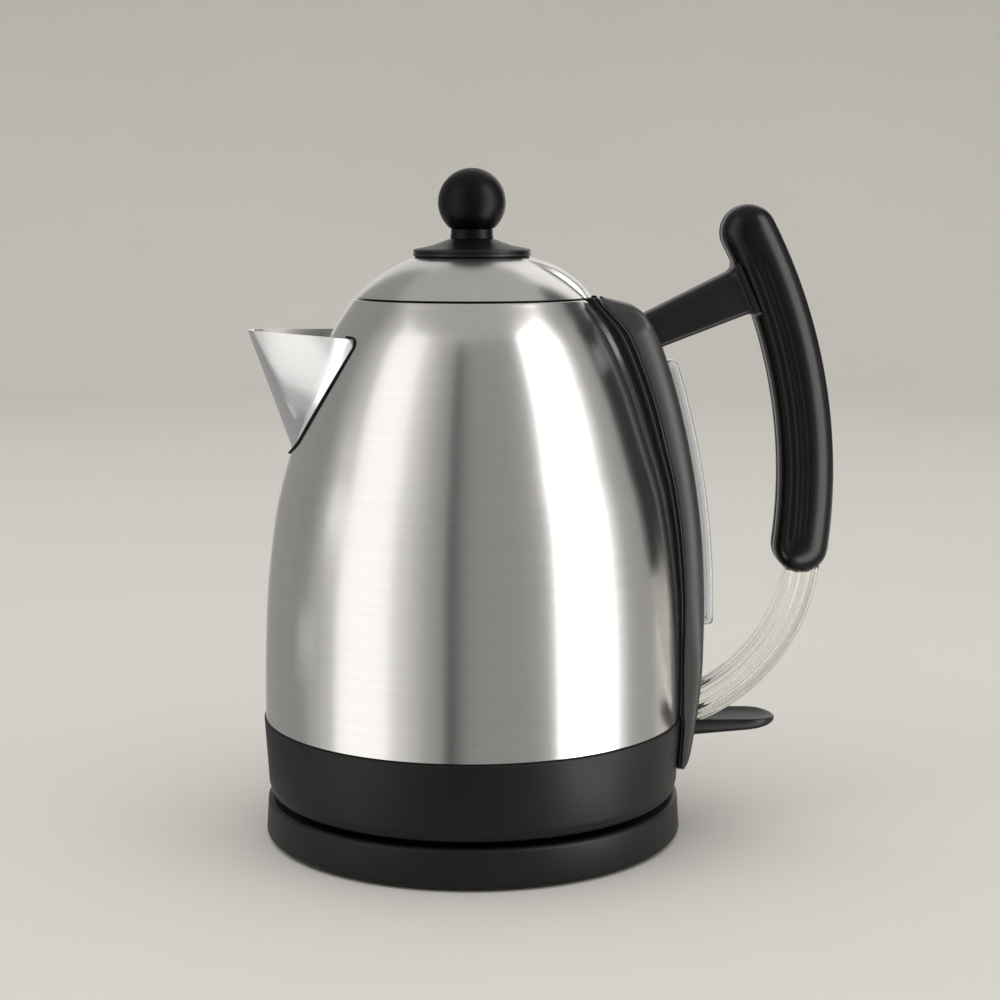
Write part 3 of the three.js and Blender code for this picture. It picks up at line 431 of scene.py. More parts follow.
def noise(tree, cycles, detail=3.0):
    """Noise over the object's own coordinates, with cycles per metre along each axis."""
    coordinates = tree.nodes.new("ShaderNodeTexCoord")
    mapping = tree.nodes.new("ShaderNodeMapping")
    mapping.inputs["Scale"].default_value = cycles
    texture = tree.nodes.new("ShaderNodeTexNoise")
    texture.inputs["Scale"].default_value = 1.0
    texture.inputs["Detail"].default_value = detail
    tree.links.new(coordinates.outputs["Object"], mapping.inputs["Vector"])
    tree.links.new(mapping.outputs["Vector"], texture.inputs["Vector"])
    return texture.outputs["Fac"]


def ranged(tree, value, low, high, start=0.3, end=0.7):
    """Maps the middle of a noise onto low to high."""
    node = tree.nodes.new("ShaderNodeMapRange")
    node.inputs["From Min"].default_value = start
    node.inputs["From Max"].default_value = end
    node.inputs["To Min"].default_value = low
    node.inputs["To Max"].default_value = high
    tree.links.new(value, node.inputs["Value"])
    return node.outputs["Result"]


def tinted(tree, shader, value, dark, light):
    """Base colour between two colours, by a value from 0 to 1."""
    mix = tree.nodes.new("ShaderNodeMix")
    mix.data_type = "RGBA"
    tree.links.new(value, mix.inputs["Factor"])
    mix.inputs["A"].default_value = (*dark, 1)
    mix.inputs["B"].default_value = (*light, 1)
    tree.links.new(mix.outputs["Result"], shader.inputs["Base Color"])


def bumped(tree, shader, height, strength, distance):
    node = tree.nodes.new("ShaderNodeBump")
    node.inputs["Strength"].default_value = strength
    node.inputs["Distance"].default_value = distance
    tree.links.new(height, node.inputs["Height"])
    tree.links.new(node.outputs["Normal"], shader.inputs["Normal"])


def scaled(color, factor):
    return tuple(channel * factor for channel in color)


def brushed_metal(name, color, roughness, grain, bump):
    """Metal brushed around the vertical axis: fine level scratches and faint broader streaks."""
    material, tree, shader = new_material(name, color, 1.0)
    scratches = noise(tree, (8, 8, grain))
    tree.links.new(ranged(tree, scratches, *roughness), shader.inputs["Roughness"])
    streaks = noise(tree, (5, 5, 700))
    tinted(tree, shader, ranged(tree, streaks, 0, 1), scaled(color, 0.985), scaled(color, 1.015))
    bumped(tree, shader, scratches, bump, 0.00002)
    shader.inputs["Anisotropic"].default_value = 0.3
    shader.inputs["Anisotropic Rotation"].default_value = 0.25
    tangent = tree.nodes.new("ShaderNodeTangent")
    tangent.direction_type = "RADIAL"
    tangent.axis = "Z"
    tree.links.new(tangent.outputs["Tangent"], shader.inputs["Tangent"])
    return material


def moulded_plastic(name, color, specular, roughness, grain, bump):
    """Opaque plastic with a moulded grain and slightly uneven gloss."""
    material, tree, shader = new_material(name, color)
    shader.inputs["Specular IOR Level"].default_value = specular
    tree.links.new(ranged(tree, noise(tree, (60, 60, 60)), *roughness), shader.inputs["Roughness"])
    uneven = ranged(tree, noise(tree, (25, 25, 25)), 0, 1)
    tinted(tree, shader, uneven, scaled(color, 0.88), scaled(color, 1.12))
    bumped(tree, shader, noise(tree, (grain, grain, grain)), bump, 0.00004)
    return material


def clear_plastic(name, color):
    """Clear polished plastic, slightly clouded in places."""
    material, tree, shader = new_material(name, color)
    shader.inputs["Transmission Weight"].default_value = 1.0
    shader.inputs["IOR"].default_value = 1.49
    clouds = noise(tree, (40, 40, 40))
    tree.links.new(ranged(tree, clouds, 0.02, 0.07), shader.inputs["Roughness"])
    bumped(tree, shader, clouds, 0.02, 0.0001)
    return material


def plain_metal(name, color, roughness):
    """Bare rolled or cast metal with uneven gloss."""
    material, tree, shader = new_material(name, color, 1.0)
    tree.links.new(ranged(tree, noise(tree, (300, 300, 300)), *roughness), shader.inputs["Roughness"])
    uneven = ranged(tree, noise(tree, (120, 120, 120)), 0, 1)
    tinted(tree, shader, uneven, scaled(color, 0.85), scaled(color, 1.05))
    bumped(tree, shader, noise(tree, (900, 900, 900)), 0.1, 0.00003)
    return material


# Colour, roughness range, scratches per metre, bump.
BRUSHED_METALS = {
    "steel": ((0.64, 0.628, 0.61), (0.215, 0.235), 1500, 0.02),
    "bright_steel": ((0.74, 0.735, 0.73), (0.17, 0.2), 1200, 0.01),
}
# Colour, roughness range.
PLAIN_METALS = {
    "inner_steel": ((0.60, 0.59, 0.58), (0.3, 0.45)),
    "aluminium": ((0.72, 0.73, 0.74), (0.4, 0.6)),
    "brass": ((0.72, 0.52, 0.22), (0.25, 0.4)),
}
# Colour, specular level, roughness range, grain in cycles per metre, bump.
PLASTICS = {
    "matt_black": ((0.007, 0.0068, 0.0063), 0.24, (0.42, 0.5), 2600, 0.25),
    "satin_black": ((0.004, 0.004, 0.004), 0.32, (0.36, 0.42), 2200, 0.2),
    "gloss_black": ((0.002, 0.002, 0.002), 0.28, (0.24, 0.28), 900, 0.04),
    "grained_black": ((0.02, 0.0195, 0.019), 0.55, (0.46, 0.52), 1800, 0.35),
    "deep_black": ((0.002, 0.002, 0.002), 0.14, (0.34, 0.4), 2200, 0.15),
    "pale_plastic": ((0.68, 0.65, 0.57), 0.5, (0.4, 0.5), 1500, 0.15),
    "rubber": ((0.004, 0.004, 0.004), 0.25, (0.6, 0.75), 1800, 0.4),
    "silicone": ((0.55, 0.55, 0.52), 0.5, (0.4, 0.55), 800, 0.1),
}
# Colour.
CLEAR_PLASTICS = {
    "clear_plastic": [(0.93, 0.94, 0.9)],
    "smoked_plastic": [(0.76, 0.79, 0.81)],
}
MATERIALS = {
    **{name: brushed_metal(name, *look) for name, look in BRUSHED_METALS.items()},
    **{name: plain_metal(name, *look) for name, look in PLAIN_METALS.items()},
    **{name: moulded_plastic(name, *look) for name, look in PLASTICS.items()},
    **{name: clear_plastic(name, *look) for name, look in CLEAR_PLASTICS.items()},
}

# Pieces whose finish differs from the rest of their slot.
FINISH_OF = {
    **SLOT_OF,
    "spine_housing": "grained_black",
    "lid_knob": "deep_black",
    "gauge_window": "smoked_plastic",
}

for node, cad_object in frame["nodes"].items():
    cad_object.data.materials.clear()
    cad_object.data.materials.append(MATERIALS[FINISH_OF[node]])

# ---------------- power base


def make_base():
    top = BASE_RING_TOP - 1.9
    cover = rounded([
        (76.2, BASE_BOTTOM, 0.3),
        (BASE_RADIUS, BASE_BOTTOM, 2.2),
        (BASE_RADIUS - 0.9, top, 1.7),
        (75.4, top, 0.8),
        (74.3, DECK_Z, 0.8),
        (63, DECK_Z, 0.7),
        (62.4, BASE_RING_TOP, 1.0),
        (59.6, BASE_RING_TOP, 1.0),
        (59, DECK_Z, 0.7),
        (14.7, DECK_Z, 0.5),
        (14.7, DECK_Z - 2, 0.2),
        (76.2, DECK_Z - 2, 1.0),
    ])
    low, high = extent("cord_inlet")
    inlet_z, inlet_radius, inlet_length = middle("cord_inlet").z, high.x, high.y - low.y
    fine("base_cover", turned(cover), rod((0, 70, inlet_z), (0, 90, inlet_z), inlet_radius + GAP))

    gland = rounded([
        (2.9, 0, 0.2),
        (inlet_radius, 0, 0.2),
        (inlet_radius, 5.5, 0.3),
        (inlet_radius - 0.7, 5.8, 0.2),
        (inlet_radius - 0.7, 6.4, 0.2),
        (inlet_radius, 6.7, 0.3),
        (inlet_radius, inlet_length, 0.8),
        (2.9, inlet_length, 0.5),
    ])
    outward = Matrix.Translation((0, low.y, inlet_z)) @ Matrix.Rotation(-math.pi / 2, 4, "X")
    fine("cord_inlet", placed(turned(gland, 64), outward))

    plate_radius = extent("base_plate")[1].x
    plate_top = extent("base_plate")[1].z
    ribs = []
    for radius in (56, 40):
        ribs.append((radius + 1, BASE_BOTTOM, 0.2))
        ribs.append((radius, BASE_BOTTOM + 0.6, 0.3))
        ribs.append((radius - 1, BASE_BOTTOM, 0.2))
    plate = rounded([
        (0, plate_top, 0),
        (plate_radius, plate_top, 0.3),
        (plate_radius, BASE_BOTTOM, 0.6),
        *ribs,
        (0, BASE_BOTTOM, 0),
    ])
    holes = []
    for number in (1, 2, 3):
        holes.extend(cover_screw(f"base_screw_{number}", 0, 2.6, 5))
        make_ring(f"base_foot_{number}", 0, 0.35, 0.1, facets=64)
    fine("base_plate", turned(plate), *holes)


def make_connectors():
    low, high = extent("base_connector")
    floor = 12
    boss = rounded([
        (0, low.z, 0),
        (20, low.z, 0.3),
        (20, DECK_Z - 2 - GAP, 0.3),
        (14.4, DECK_Z - 2 - GAP, 0.2),
        (14.4, high.z, 1.2),
        (10.5, high.z, 0.6),
        (10.5, floor, 0.2),
        (8.3, floor, 0.2),
        (8.3, high.z, 0.6),
        (3.5, high.z, 0.8),
        (3.5, floor, 0.2),
        (0, floor, 0),
    ])
    fine("base_connector", turned(boss, 128))
    make_ring("base_live_contact", 2.75)
    make_ring("base_neutral_contact", 8.6)
    make_ring("base_earth_contact", 14.75)

    top = extent("jug_connector")[1].z
    ceiling = 25.4
    socket = rounded([
        (15.6, HOUSING_BOTTOM, 0.5),
        (19, HOUSING_BOTTOM, 0.5),
        (19, 20, 0.2),
        (24, 20, 0.2),
        (24, 22, 0.2),
        (19, 22, 0.2),
        (19, top, 0.4),
        (2.7, top, 0.2),
        (2.7, ceiling, 0.2),
        (15.6, ceiling, 0.4),
    ])
    fine("jug_connector", turned(socket, 128))
    make_ring("jug_live_pin", 0, 1.8, 0.2, facets=64)
    make_ring("jug_neutral_ring", 9.0, 0.3, 0.3)
    make_ring("jug_earth_ring", 14.75)


# ---------------- lower housing and the jug's floor


def make_lower_housing():
    ledge, ledge_top = 20.5, 22.5
    profile = rounded([
        (74.8, HOUSING_BOTTOM, 0.3),
        (77.0, HOUSING_BOTTOM, 1.2),
        (skin_radius(21), 21, 5),
        (skin_radius(33), 33, 12),
        (HOUSING_RADIUS, SEAM_Z - 0.5, 0.7),
        (HOUSING_RADIUS - 0.9, SEAM_Z, 0.3),
        (77.4, SEAM_Z, 0.2),
        (77.4, 47.4, 0.3),
        (75.4, 47.4, 0.3),
        (75.4, ledge_top, 0.6),
        (64, ledge_top, 0.4),
        (64, ledge, 0.4),
        (74.8, ledge, 0.6),
    ])
    lever_slot = block((60, -5.3, 35), (90, 5.3, 45.4))
    screw_hole = rod((70, 0, 30), (90, 0, 30), 1.8)
    fine("lower_housing", turned(profile, 256), lever_slot, screw_hole)

    low, high = extent("bottom_cover")
    inner = 19.3
    cover = rounded([
        (inner, low.z, 0.3),
        (30, low.z, 0.4),
        (30.8, low.z + 0.5, 0.3),
        (54, low.z + 0.5, 0.3),
        (54.8, low.z, 0.4),
        (high.x, low.z, 0.5),
        (high.x, high.z, 0.3),
        (inner, high.z, 0.3),
    ])
    holes = []
    for number in (1, 2, 3):
        holes.extend(cover_screw(f"bottom_screw_{number}", 15, 18.9, 25))
    fine("bottom_cover", turned(cover), *holes)


def make_floor_of_jug():
    low, high = extent("element_plate")
    top, ridge_top = low.z + STEEL_WALL, low.z + STEEL_WALL + 0.5
    plate = rounded([
        (0, low.z, 0),
        (high.x, low.z, 1.6),
        (high.x, high.z, 0.4),
        (high.x - STEEL_WALL, high.z, 0.4),
        (high.x - STEEL_WALL, top, 1.2),
        (62, top, 1.0),
        (60.5, ridge_top, 1.0),
        (30, ridge_top, 1.0),
        (28.5, top, 1.0),
        (0, top, 0),
    ])
    fine("element_plate", turned(plate, 256))
    make_ring("plate_seal", 75.5, 0.5, 0.6, facets=256)


# ---------------- steel body

# The steel rises in a step along each side of the spine, by height.
PAD_RISE = spline([(46, 0), (60, 0.2), (91, 0.7), (129, 1.0), (174, 1.3), (190, 1.4), (202.9, 0.8)], 6)


def pad_rise(x, y, z):
    """How far the step beside the spine stands above the round body at a point."""
    if x <= 0:
        return 0.0
    beyond_trim = abs(y) - TRIM_HALF
    outer_slope = smooth((4.4 - beyond_trim) / 4.0)
    inner_slope = smooth(beyond_trim + 0.5)
    return interpolate(PAD_RISE, z) * outer_slope * inner_slope


def close_angles(half_span, fine_step, coarse_step):
    """Angles in radians around the axis, closer together about +X."""
    fine_count = round(2 * half_span / fine_step)
    coarse_count = round((360 - 2 * half_span) / coarse_step)
    near = steps(-half_span, half_span, fine_count)
    far = steps(half_span, 360 - half_span, coarse_count)[1:-1]
    return [math.radians(angle) for angle in near + far]


def make_body():
    heights = [*steps(STEEL_BOTTOM, 60, 8)[:-1], *steps(60, 180, 60)[:-1], *steps(180, STEEL_TOP - 0.8, 24)]
    outer = [(body_radius(z), z) for z in heights]
    mouth, lip = 40, 196.8
    top = rounded([
        (body_radius(200), 200, 0),
        (body_radius(STEEL_TOP), STEEL_TOP, 0.5),
        (42.4, STEEL_TOP, 0.6),
        (mouth, STEEL_TOP - 1.5, 0.8),
        (mouth, lip, 0.3),
        (mouth + 1.1, lip, 0.3),
        (mouth + 1.1, 200.8, 0.6),
    ])[1:]
    inner_heights = [200.4, *steps(192, STEEL_BOTTOM, 36)]
    thicker = 0.7  # the wall is this much thicker at the mouth, starting at a height of 150
    inner = [(body_radius(z) - STEEL_WALL - thicker * clamp((z - 150) / 53), z) for z in inner_heights]
    profile = [*outer, *top, *inner]
    rows = []
    for angle in close_angles(32, 0.5, 2.0):
        row = []
        for i, (radius, z) in enumerate(profile):
            if i < len(outer):
                radius += pad_rise(*polar(radius, angle), z)
            row.append((*polar(radius, angle), z))
        rows.append(row)
    pour = [[(x, y, z) for y, z in POUR_HOLE] for x in (-90, -40)]
    ports = [rod((40, 0, z), (100, 0, z), 2.5) for z in GAUGE_PORTS]
    fine("body_shell", grid(rows, wrap_rows=True), grid(pour, caps=True), *ports, sharp=30)


# ---------------- lid

REAR_BAND_HALF = 14
LID_HOLE = 6  # radius of the hole under the knob


def lid_raise(x, y, radius):
    """Height of the raised band that runs from the flange down to the spine."""
    if x <= 0:
        return 0.0
    across = abs(y)
    band = smooth((REAR_BAND_HALF - across) / 1.6) * smooth((radius - FLANGE_RADIUS + 2) / 14)
    grooves = sum(math.exp(-(((across - centre) / 0.35) ** 2)) for centre in (7.5, 10.8))
    return band * (1.5 - 0.35 * grooves)


def sphere_z(radius, size=LID_SPHERE_RADIUS):
    """Height of the lid's sphere, or of one around the same centre, at a distance from the axis."""
    return LID_SPHERE_Z + math.sqrt(size * size - radius * radius)


def make_lid_shell():
    rim = [(LID_RADIUS - 1.2, LID_BOTTOM + 0.3), (LID_RADIUS - 0.7, LID_BOTTOM + 0.3)]
    outer = [(r, sphere_z(r)) for r in steps(LID_RADIUS - 0.45, LID_HOLE, 48)]
    inner = [(r, sphere_z(r, LID_SPHERE_RADIUS - 1)) for r in steps(LID_HOLE, LID_RADIUS - 1.2, 24)][:-1]
    rows = []
    for angle in close_angles(42, 0.5, 2.0):
        row = []
        for i, (radius, z) in enumerate([*rim, *outer, *inner]):
            lift = lid_raise(*polar(radius, angle), radius) if 0 < i < len(rim) + len(outer) else 0
            spread = radius / LID_SPHERE_RADIUS
            radius += lift * spread
            z += lift * math.sqrt(1 - spread * spread) * smooth((z - LID_BOTTOM) / 4)
            row.append((*polar(radius, angle), z))
        rows.append(row)
    fine("lid_shell", grid(rows, wrap_rows=True), sharp=30)


def make_lid_flange():
    seat = LID_SPHERE_RADIUS + GAP
    edge_z = sphere_z(FLANGE_RADIUS - 0.3, seat)
    flange = rounded([
        (LID_HOLE, sphere_z(LID_HOLE, seat), 0),
        (14, sphere_z(14, seat), 0),
        (FLANGE_RADIUS - 0.4, edge_z, 0.2),
        (FLANGE_RADIUS, 219.0, 0.2),
        (FLANGE_RADIUS, 219.7, 0.15),
        (FLANGE_RADIUS - 0.5, 219.85, 0.1),
        (FLANGE_RADIUS - 0.5, 220.1, 0.1),
        (FLANGE_RADIUS, 220.25, 0.15),
        (FLANGE_RADIUS, 220.9, 0.3),
        (FLANGE_RADIUS - 0.7, 221.3, 0.4),
        (15, 222.5, 6),
        (10, FLANGE_TOP - 0.5, 3),
        (8.9, FLANGE_TOP, 0.3),
        (LID_HOLE, FLANGE_TOP, 0),
    ])
    fine("lid_flange", turned(flange))


def make_knob():
    neck = 7.7
    start = math.asin(neck / BALL_RADIUS)
    ball = arc(0, BALL_Z, BALL_RADIUS, math.degrees(start) - 90, 90, 48)
    collar = rounded([
        (0, 214, 0),
        (5.7, 214, 0.4),
        (5.7, FLANGE_TOP + 0.1, 0),
        (neck + 0.4, FLANGE_TOP + 0.1, 0.2),
        (neck + 0.05, 227.6, 2),
        (neck + 0.1, 228.5, 0.3),
        (neck - 0.3, 228.9, 0.2),
        (neck - 0.2, 229.05, 0),
    ])
    screw_hole = rod((0, 0, 210), (0, 0, 236), 2.1)
    fine("lid_knob", turned([*collar, *ball[1:-1], (0, KNOB_TOP)]), screw_hole, sharp=40)


def make_lid_liner():
    """The liner, its seal, and the screw that holds the liner, shell and knob together."""
    low, high = extent("lid_liner")
    outer_radius, under = high.x, 202.6
    liner = rounded([
        (0, under - 1.6, 0),
        (outer_radius - 1.8, under - 1.6, 1.2),
        (outer_radius - 1.8, low.z, 0.6),
        (outer_radius, low.z, 0.6),
        (outer_radius, under, 0.8),
        (5, under, 1.5),
        (5, high.z, 0.3),
        (0, high.z, 0),
    ])
    vents = [rod((0, 0, 190), (0, 0, 220), 2.1)]
    for angle in (45, 135, 225, 315):
        x, y = polar(26, math.radians(angle))
        vents.append(rod((x, y, 190), (x, y, 210), 2.5))
    fine("lid_liner", turned(liner), *vents)

    low, high = extent("lid_seal")
    inner = outer_radius + GAP
    seal = rounded([
        (inner, low.z, 0.2),
        (high.x, low.z + 0.4, 0.5),
        (high.x - 0.5, low.z + 1.6, 0.3),
        (high.x, high.z - 0.5, 0.5),
        (inner, high.z, 0.2),
    ])
    fine("lid_seal", turned(seal))
    low, high = extent("knob_screw")
    screw("knob_screw", (0, 0, low.z), (0, 0, 1), 4.0, 2.2, 1.7, high.z - low.z)


# ---------------- spout

RIM_FALL = 0.035  # the rim falls this much per millimetre towards the body
RIM_LENGTH = 34
CORNER_RADIUS = 3.0  # of the rim's end at the seam
NOSE_RADIUS = 8.8  # at the rim
NOSE_GROWTH = 0.0555  # of the nose's radius, per millimetre below the rim


def seam_point(z):
    """Where the spout meets the steel on the -Y side, as (x, y)."""
    seam_x, seam_z, slope = SPOUT_SEAM
    plane_x = seam_x + slope * (z - seam_z)
    radius = body_radius(z)
    half = math.sqrt(max(radius * radius - plane_x * plane_x, 0))
    closing = clamp((152 - z) / (152 - SPOUT_BOTTOM_Z))
    half *= math.sqrt(max(1 - closing * closing, 0))
    return -math.sqrt(radius * radius - half * half), -half


def seam_height(z):
    """Height of the seam's end of a section, which falls with the rim and its rounded corner."""
    share = (z - SPOUT_BOTTOM_Z) / (SPOUT_TOP - SPOUT_BOTTOM_Z)
    return z - share * (RIM_FALL * RIM_LENGTH + CORNER_RADIUS)


def spout_side(z, inset):
    """Half a level section of the spout, from the nose to the seam on the -Y side."""
    straight = SPOUT_TIP_X + SPOUT_NOSE_SLOPE * (SPOUT_TOP - z)
    proud = 0.6 * smooth((z - SPOUT_BOTTOM_Z) / 3)
    nose = min(straight, -body_radius(z) - proud) + 1.3 * inset
    seam = Vector(seam_point(seam_height(z)))
    bend_width, off_steel = 4.0 * clamp((z - 150) / 40) ** 0.6, 0.25
    outward = seam.normalized()
    towards_nose = Vector((outward.y, -outward.x))
    edge = seam + towards_nose * bend_width + outward * (off_steel + 0.5 * bend_width)
    seam = seam + outward * off_steel
    if inset:
        edge = edge - outward * inset + towards_nose * inset * 0.4
        seam = seam - outward * 0.1 + towards_nose * inset
    widest = ((edge.x - nose) ** 2 + edge.y**2) / (2 * max(edge.x - nose, 0.05))
    free = NOSE_RADIUS * math.exp(NOSE_GROWTH * (SPOUT_TOP - z))
    radius = (free**-4 + (0.97 * widest) ** -4) ** -0.25  # the smaller of the two, without a crease
    centre = Vector((nose + radius, 0))
    reach = edge - centre
    tangent = math.atan2(reach.y, reach.x) - math.acos(clamp(radius / max(reach.length, 1e-6)))
    section = [centre + Vector(polar(radius, angle)) for angle in steps(-math.pi, tangent, 12)]
    touch = section[-1]
    section.extend(touch.lerp(edge, t) for t in steps(0, 1, 10)[1:])
    section.extend(edge.lerp(seam, t) for t in steps(0, 1, 4)[1:])
    return section


def spout_rows(inset, low):
    rows = []
    for z in steps(low, SPOUT_TOP, 40):
        half = spout_side(z, inset)
        seam = half[-1]
        row = []
        for x, y in half:
            top = SPOUT_TOP - RIM_FALL * (x - SPOUT_TIP_X)
            near = CORNER_RADIUS - min((Vector((x, y)) - seam).length, CORNER_RADIUS)
            top -= CORNER_RADIUS - math.sqrt(CORNER_RADIUS**2 - near**2)
            share = (z - SPOUT_BOTTOM_Z) / (SPOUT_TOP - SPOUT_BOTTOM_Z)
            row.append((x, y, SPOUT_BOTTOM_Z + share * (top - SPOUT_BOTTOM_Z)))
        mirror = [(x, -y, height) for x, y, height in reversed(row[1:])]
        rows.append([*mirror, *row])
    return rows


def make_spout():
    outer = spout_rows(0, SPOUT_BOTTOM_Z)
    inner = spout_rows(STEEL_WALL, SPOUT_BOTTOM_Z + 2.5)
    there_and_back = [*outer, *reversed(inner)]
    columns = [[row[c] for row in there_and_back] for c in range(len(outer[0]))]
    fine("spout", grid(columns, caps=True), sharp=32)

    path = []
    for row in outer:
        seam = Vector(row[-1])
        outward = Vector((seam.x, seam.y, 0)).normalized()
        towards_nose = Vector((outward.y, -outward.x, 0))
        path.append(seam + outward * 0.1 - towards_nose * 0.35)

    def on_body(spot, z):
        flat = spot.to_2d().normalized() * (body_radius(z) + 0.35)
        return Vector((flat.x, flat.y, z))

    top = path[-1]
    corner = CORNER_RADIUS + 0.4
    for angle in map(math.radians, (20, 40, 60, 75, 90)):
        spot = top + towards_nose * corner * (1 - math.cos(angle))
        path.append(on_body(spot, top.z + corner * math.sin(angle)))
    last = path[-1]
    for onward in (2, 4):
        path.append(on_body(last + towards_nose * onward, last.z))
    mirrored = [Vector((p.x, -p.y, p.z)) for p in reversed(path[1:])]
    fine("spout_gasket", tube([*mirrored, *path], 0.42, 10))


def tube(path, radius, facets=12):
    """A round tube along a path of points, closed at its ends."""
    rows = []
    for i, point in enumerate(path):
        along = (path[min(i + 1, len(path) - 1)] - path[max(i - 1, 0)]).normalized()
        turn = along.to_track_quat("Z", "Y")
        angles = steps(0, 2 * math.pi, facets)[:-1]
        rows.append([tuple(point + turn @ Vector((*polar(radius, angle), 0))) for angle in angles])
    return grid(rows, caps=True)


# ---------------- spine and gauge

# X of the sloping top of the spine's back, by height.
SPINE_SHOULDER = [(193.4, 66.8), (196.8, 64.4), (198.9, 62.4), (200.6, 59.8), (202.9, 50.2), (204.1, 45)]


def spine_reach(z):
    """X of the spine's back at a height, along its arc, sloping top and cut-back foot."""
    if z < 29.2:
        return interpolate([(SPINE_BOTTOM, 80.4), (29.2, 82.4)], z)
    if z > 189:
        return interpolate([(189, spine_back(189)), *SPINE_SHOULDER], z)
    return min(spine_back(z), interpolate([(29.2, 82.4), (40, 86.5), (60, 200)], z))


def spine_front(z, half):
    """X of the spine's front edge at a height, at a distance from the middle."""
    return math.sqrt((skin_radius(z) + interpolate(TRIM_LIFT, z) + GAP) ** 2 - half * half)


def spine_section(z):
    """A level section of the spine: flat front, sides that curve into the back."""
    half = SPINE_HALF - 7 * clamp((z - 198.5) / 5.6) ** 1.5
    front = spine_front(z, half)
    back = max(spine_reach(z), front + 0.2)
    # The section is squarer, and its back flatter, towards the foot and at the top.
    power = 2.1 + 2.5 * smooth((95 - z) / 40) + 5 * smooth((z - 190) / 7)
    flat = 5.6 + 4.4 * smooth((78 - z) / 18)
    side = []
    for turn in map(math.radians, steps(0, 90, 18)):
        sine, cosine = math.sin(turn) ** (2 / power), math.cos(turn) ** (2 / power)
        width = flat * half / SPINE_HALF * (1 - cosine) + half * cosine
        side.append((front + (back - front) * sine, -width))
    centre_x = min(spine_front(z, 0), back - 0.1)
    return [*with_mirror(side), *((centre_x, y) for y in (5, 0, -5))]


def make_spine():
    heights = [SPINE_BOTTOM, SPINE_BOTTOM + 0.6, *steps(28, 187, 60), *steps(188.5, 203.6, 22)]
    rows = [[(x, y, z) for x, y in spine_section(z)] for z in heights]
    half = LEVER_HIGH.y + 0.4
    lever_slot = block((78, -half, 35.4), (120, half, BAR_LOW.z - GAP))
    gauge_half = GAUGE_HIGH.y + GAP
    gauge_slot = block((60, -gauge_half, GAUGE_LOW.z - GAP), (120, gauge_half, GAUGE_HIGH.z + GAP))
    fine("spine_housing", grid(rows, caps=True), lever_slot, gauge_slot, sharp=32)


def make_trim():
    """The edge between the steel and each side of the spine: a dark gap and two raised ribs."""
    # Each step is the share of the way from the steel to the spine, and how far it lies in from the side.
    gap = [(0.0, 2.0), (0.26, 2.0)]
    wide_rib = [(0.30, 0.3), (0.36, 0.05), (0.42, 0.0), (0.50, 0.0), (0.56, 0.2), (0.60, 1.1)]
    narrow_rib = [(0.73, 1.1), (0.77, 0.25), (0.83, 0.0), (0.89, 0.1), (0.95, 0.8), (1.0, 0.8)]
    sides = []
    for side in (-1, 1):
        rows = []
        for z in steps(SPINE_BOTTOM + 0.4, STEEL_TOP + 0.6, 70):
            low = math.sqrt(skin_radius(z) ** 2 - TRIM_HALF**2) + 0.8 * interpolate(PAD_RISE, z)
            high = spine_front(z, SPINE_HALF)
            ring = [(low + (high - low) * share, inset) for share, inset in gap + wide_rib + narrow_rib]
            ring += [(high, 3.4), (low - 1.5, 3.4), (low - 1.5, 2.0)]
            rows.append([(x, side * (TRIM_HALF - inset), z) for x, inset in ring])
        sides.append(grid(rows, caps=True))
    fine("spine_bracket", merged(*sides), sharp=50)


def gauge_outline(inset):
    """Side outline of the gauge, its front on the steel and its back on the spine's arc."""
    low, high = GAUGE_LOW.z + inset, GAUGE_HIGH.z - inset
    front = [(skin_radius(z) + 1.9, z) for z in steps(high, low, 40)]
    back = [(spine_back(z, GAUGE_PROUD) - inset, z) for z in steps(low + 1.0, high - 2.4, 40)]
    corner = back[-1]
    crown = [(corner[0] - 0.35, high - 1.1), (corner[0] - 1.1, high - 0.3), (corner[0] - 2.4, high)]
    return [*front, (back[0][0] - 1.0, low), *back, *crown]


def hollow_outline(_):
    """Side outline of the water's space in the gauge, which opens through its front."""
    low, high = GAUGE_LOW.z + GAUGE_WALL, GAUGE_HIGH.z - GAUGE_WALL
    front = [(skin_radius(z) - 6, z) for z in steps(high, low, 30)]
    back = [(spine_back(z, GAUGE_PROUD - GAUGE_WALL), z) for z in steps(low + 0.6, high - 1.2, 30)]
    return [*front, (back[0][0] - 0.6, low), *back, (back[-1][0] - 1.2, high)]


def make_gauge():
    half = GAUGE_HIGH.y
    edge = [(1.4, -half), (0.6, -half + 0.25), (0.15, -half + 0.8), (0, -half + 1.4)]
    inner = half - GAUGE_WALL
    hollow = slab(hollow_outline, [(0, -inner), (0, inner)])
    fine("gauge_window", slab(gauge_outline, with_mirror(edge)), hollow)


# ---------------- handle


def grip_outline(inset):
    """Side outline of the grip: two arcs joined by round ends."""
    x, z, radius = GRIP_ARC
    low, high = GRIP_ENDS
    half = GRIP_HALF_HEIGHT - inset

    def cap(angle, start, end):
        (centre_x, centre_z), *_ = arc(x, z, radius, angle, angle, 1)
        return arc(centre_x, centre_z, half, start, end, 16)[1:-1]

    return [
        *arc(x, z, radius + half, low, high, 60),
        *cap(high, high, high + 180),
        *arc(x, z, radius - half, high, low, 60),
        *cap(low, low + 180, low + 360),
    ]


def flute(x, z):
    """Depth of the two grooves that run along the inner third of the grip's side."""
    centre_x, centre_z, radius = GRIP_ARC
    offset = math.hypot(x - centre_x, z - centre_z) - radius
    angle = math.degrees(math.atan2(z - centre_z, x - centre_x))
    low, high = GRIP_ENDS
    fade = smooth((angle - low) / 1.5) * smooth((high - 1.5 - angle) / 3)
    narrow = 0.55 * math.exp(-(((offset + 4.6) / 0.9) ** 2))
    wide = 0.75 * math.exp(-(((offset + 1.4) / 1.3) ** 2))
    return fade * (narrow + wide)


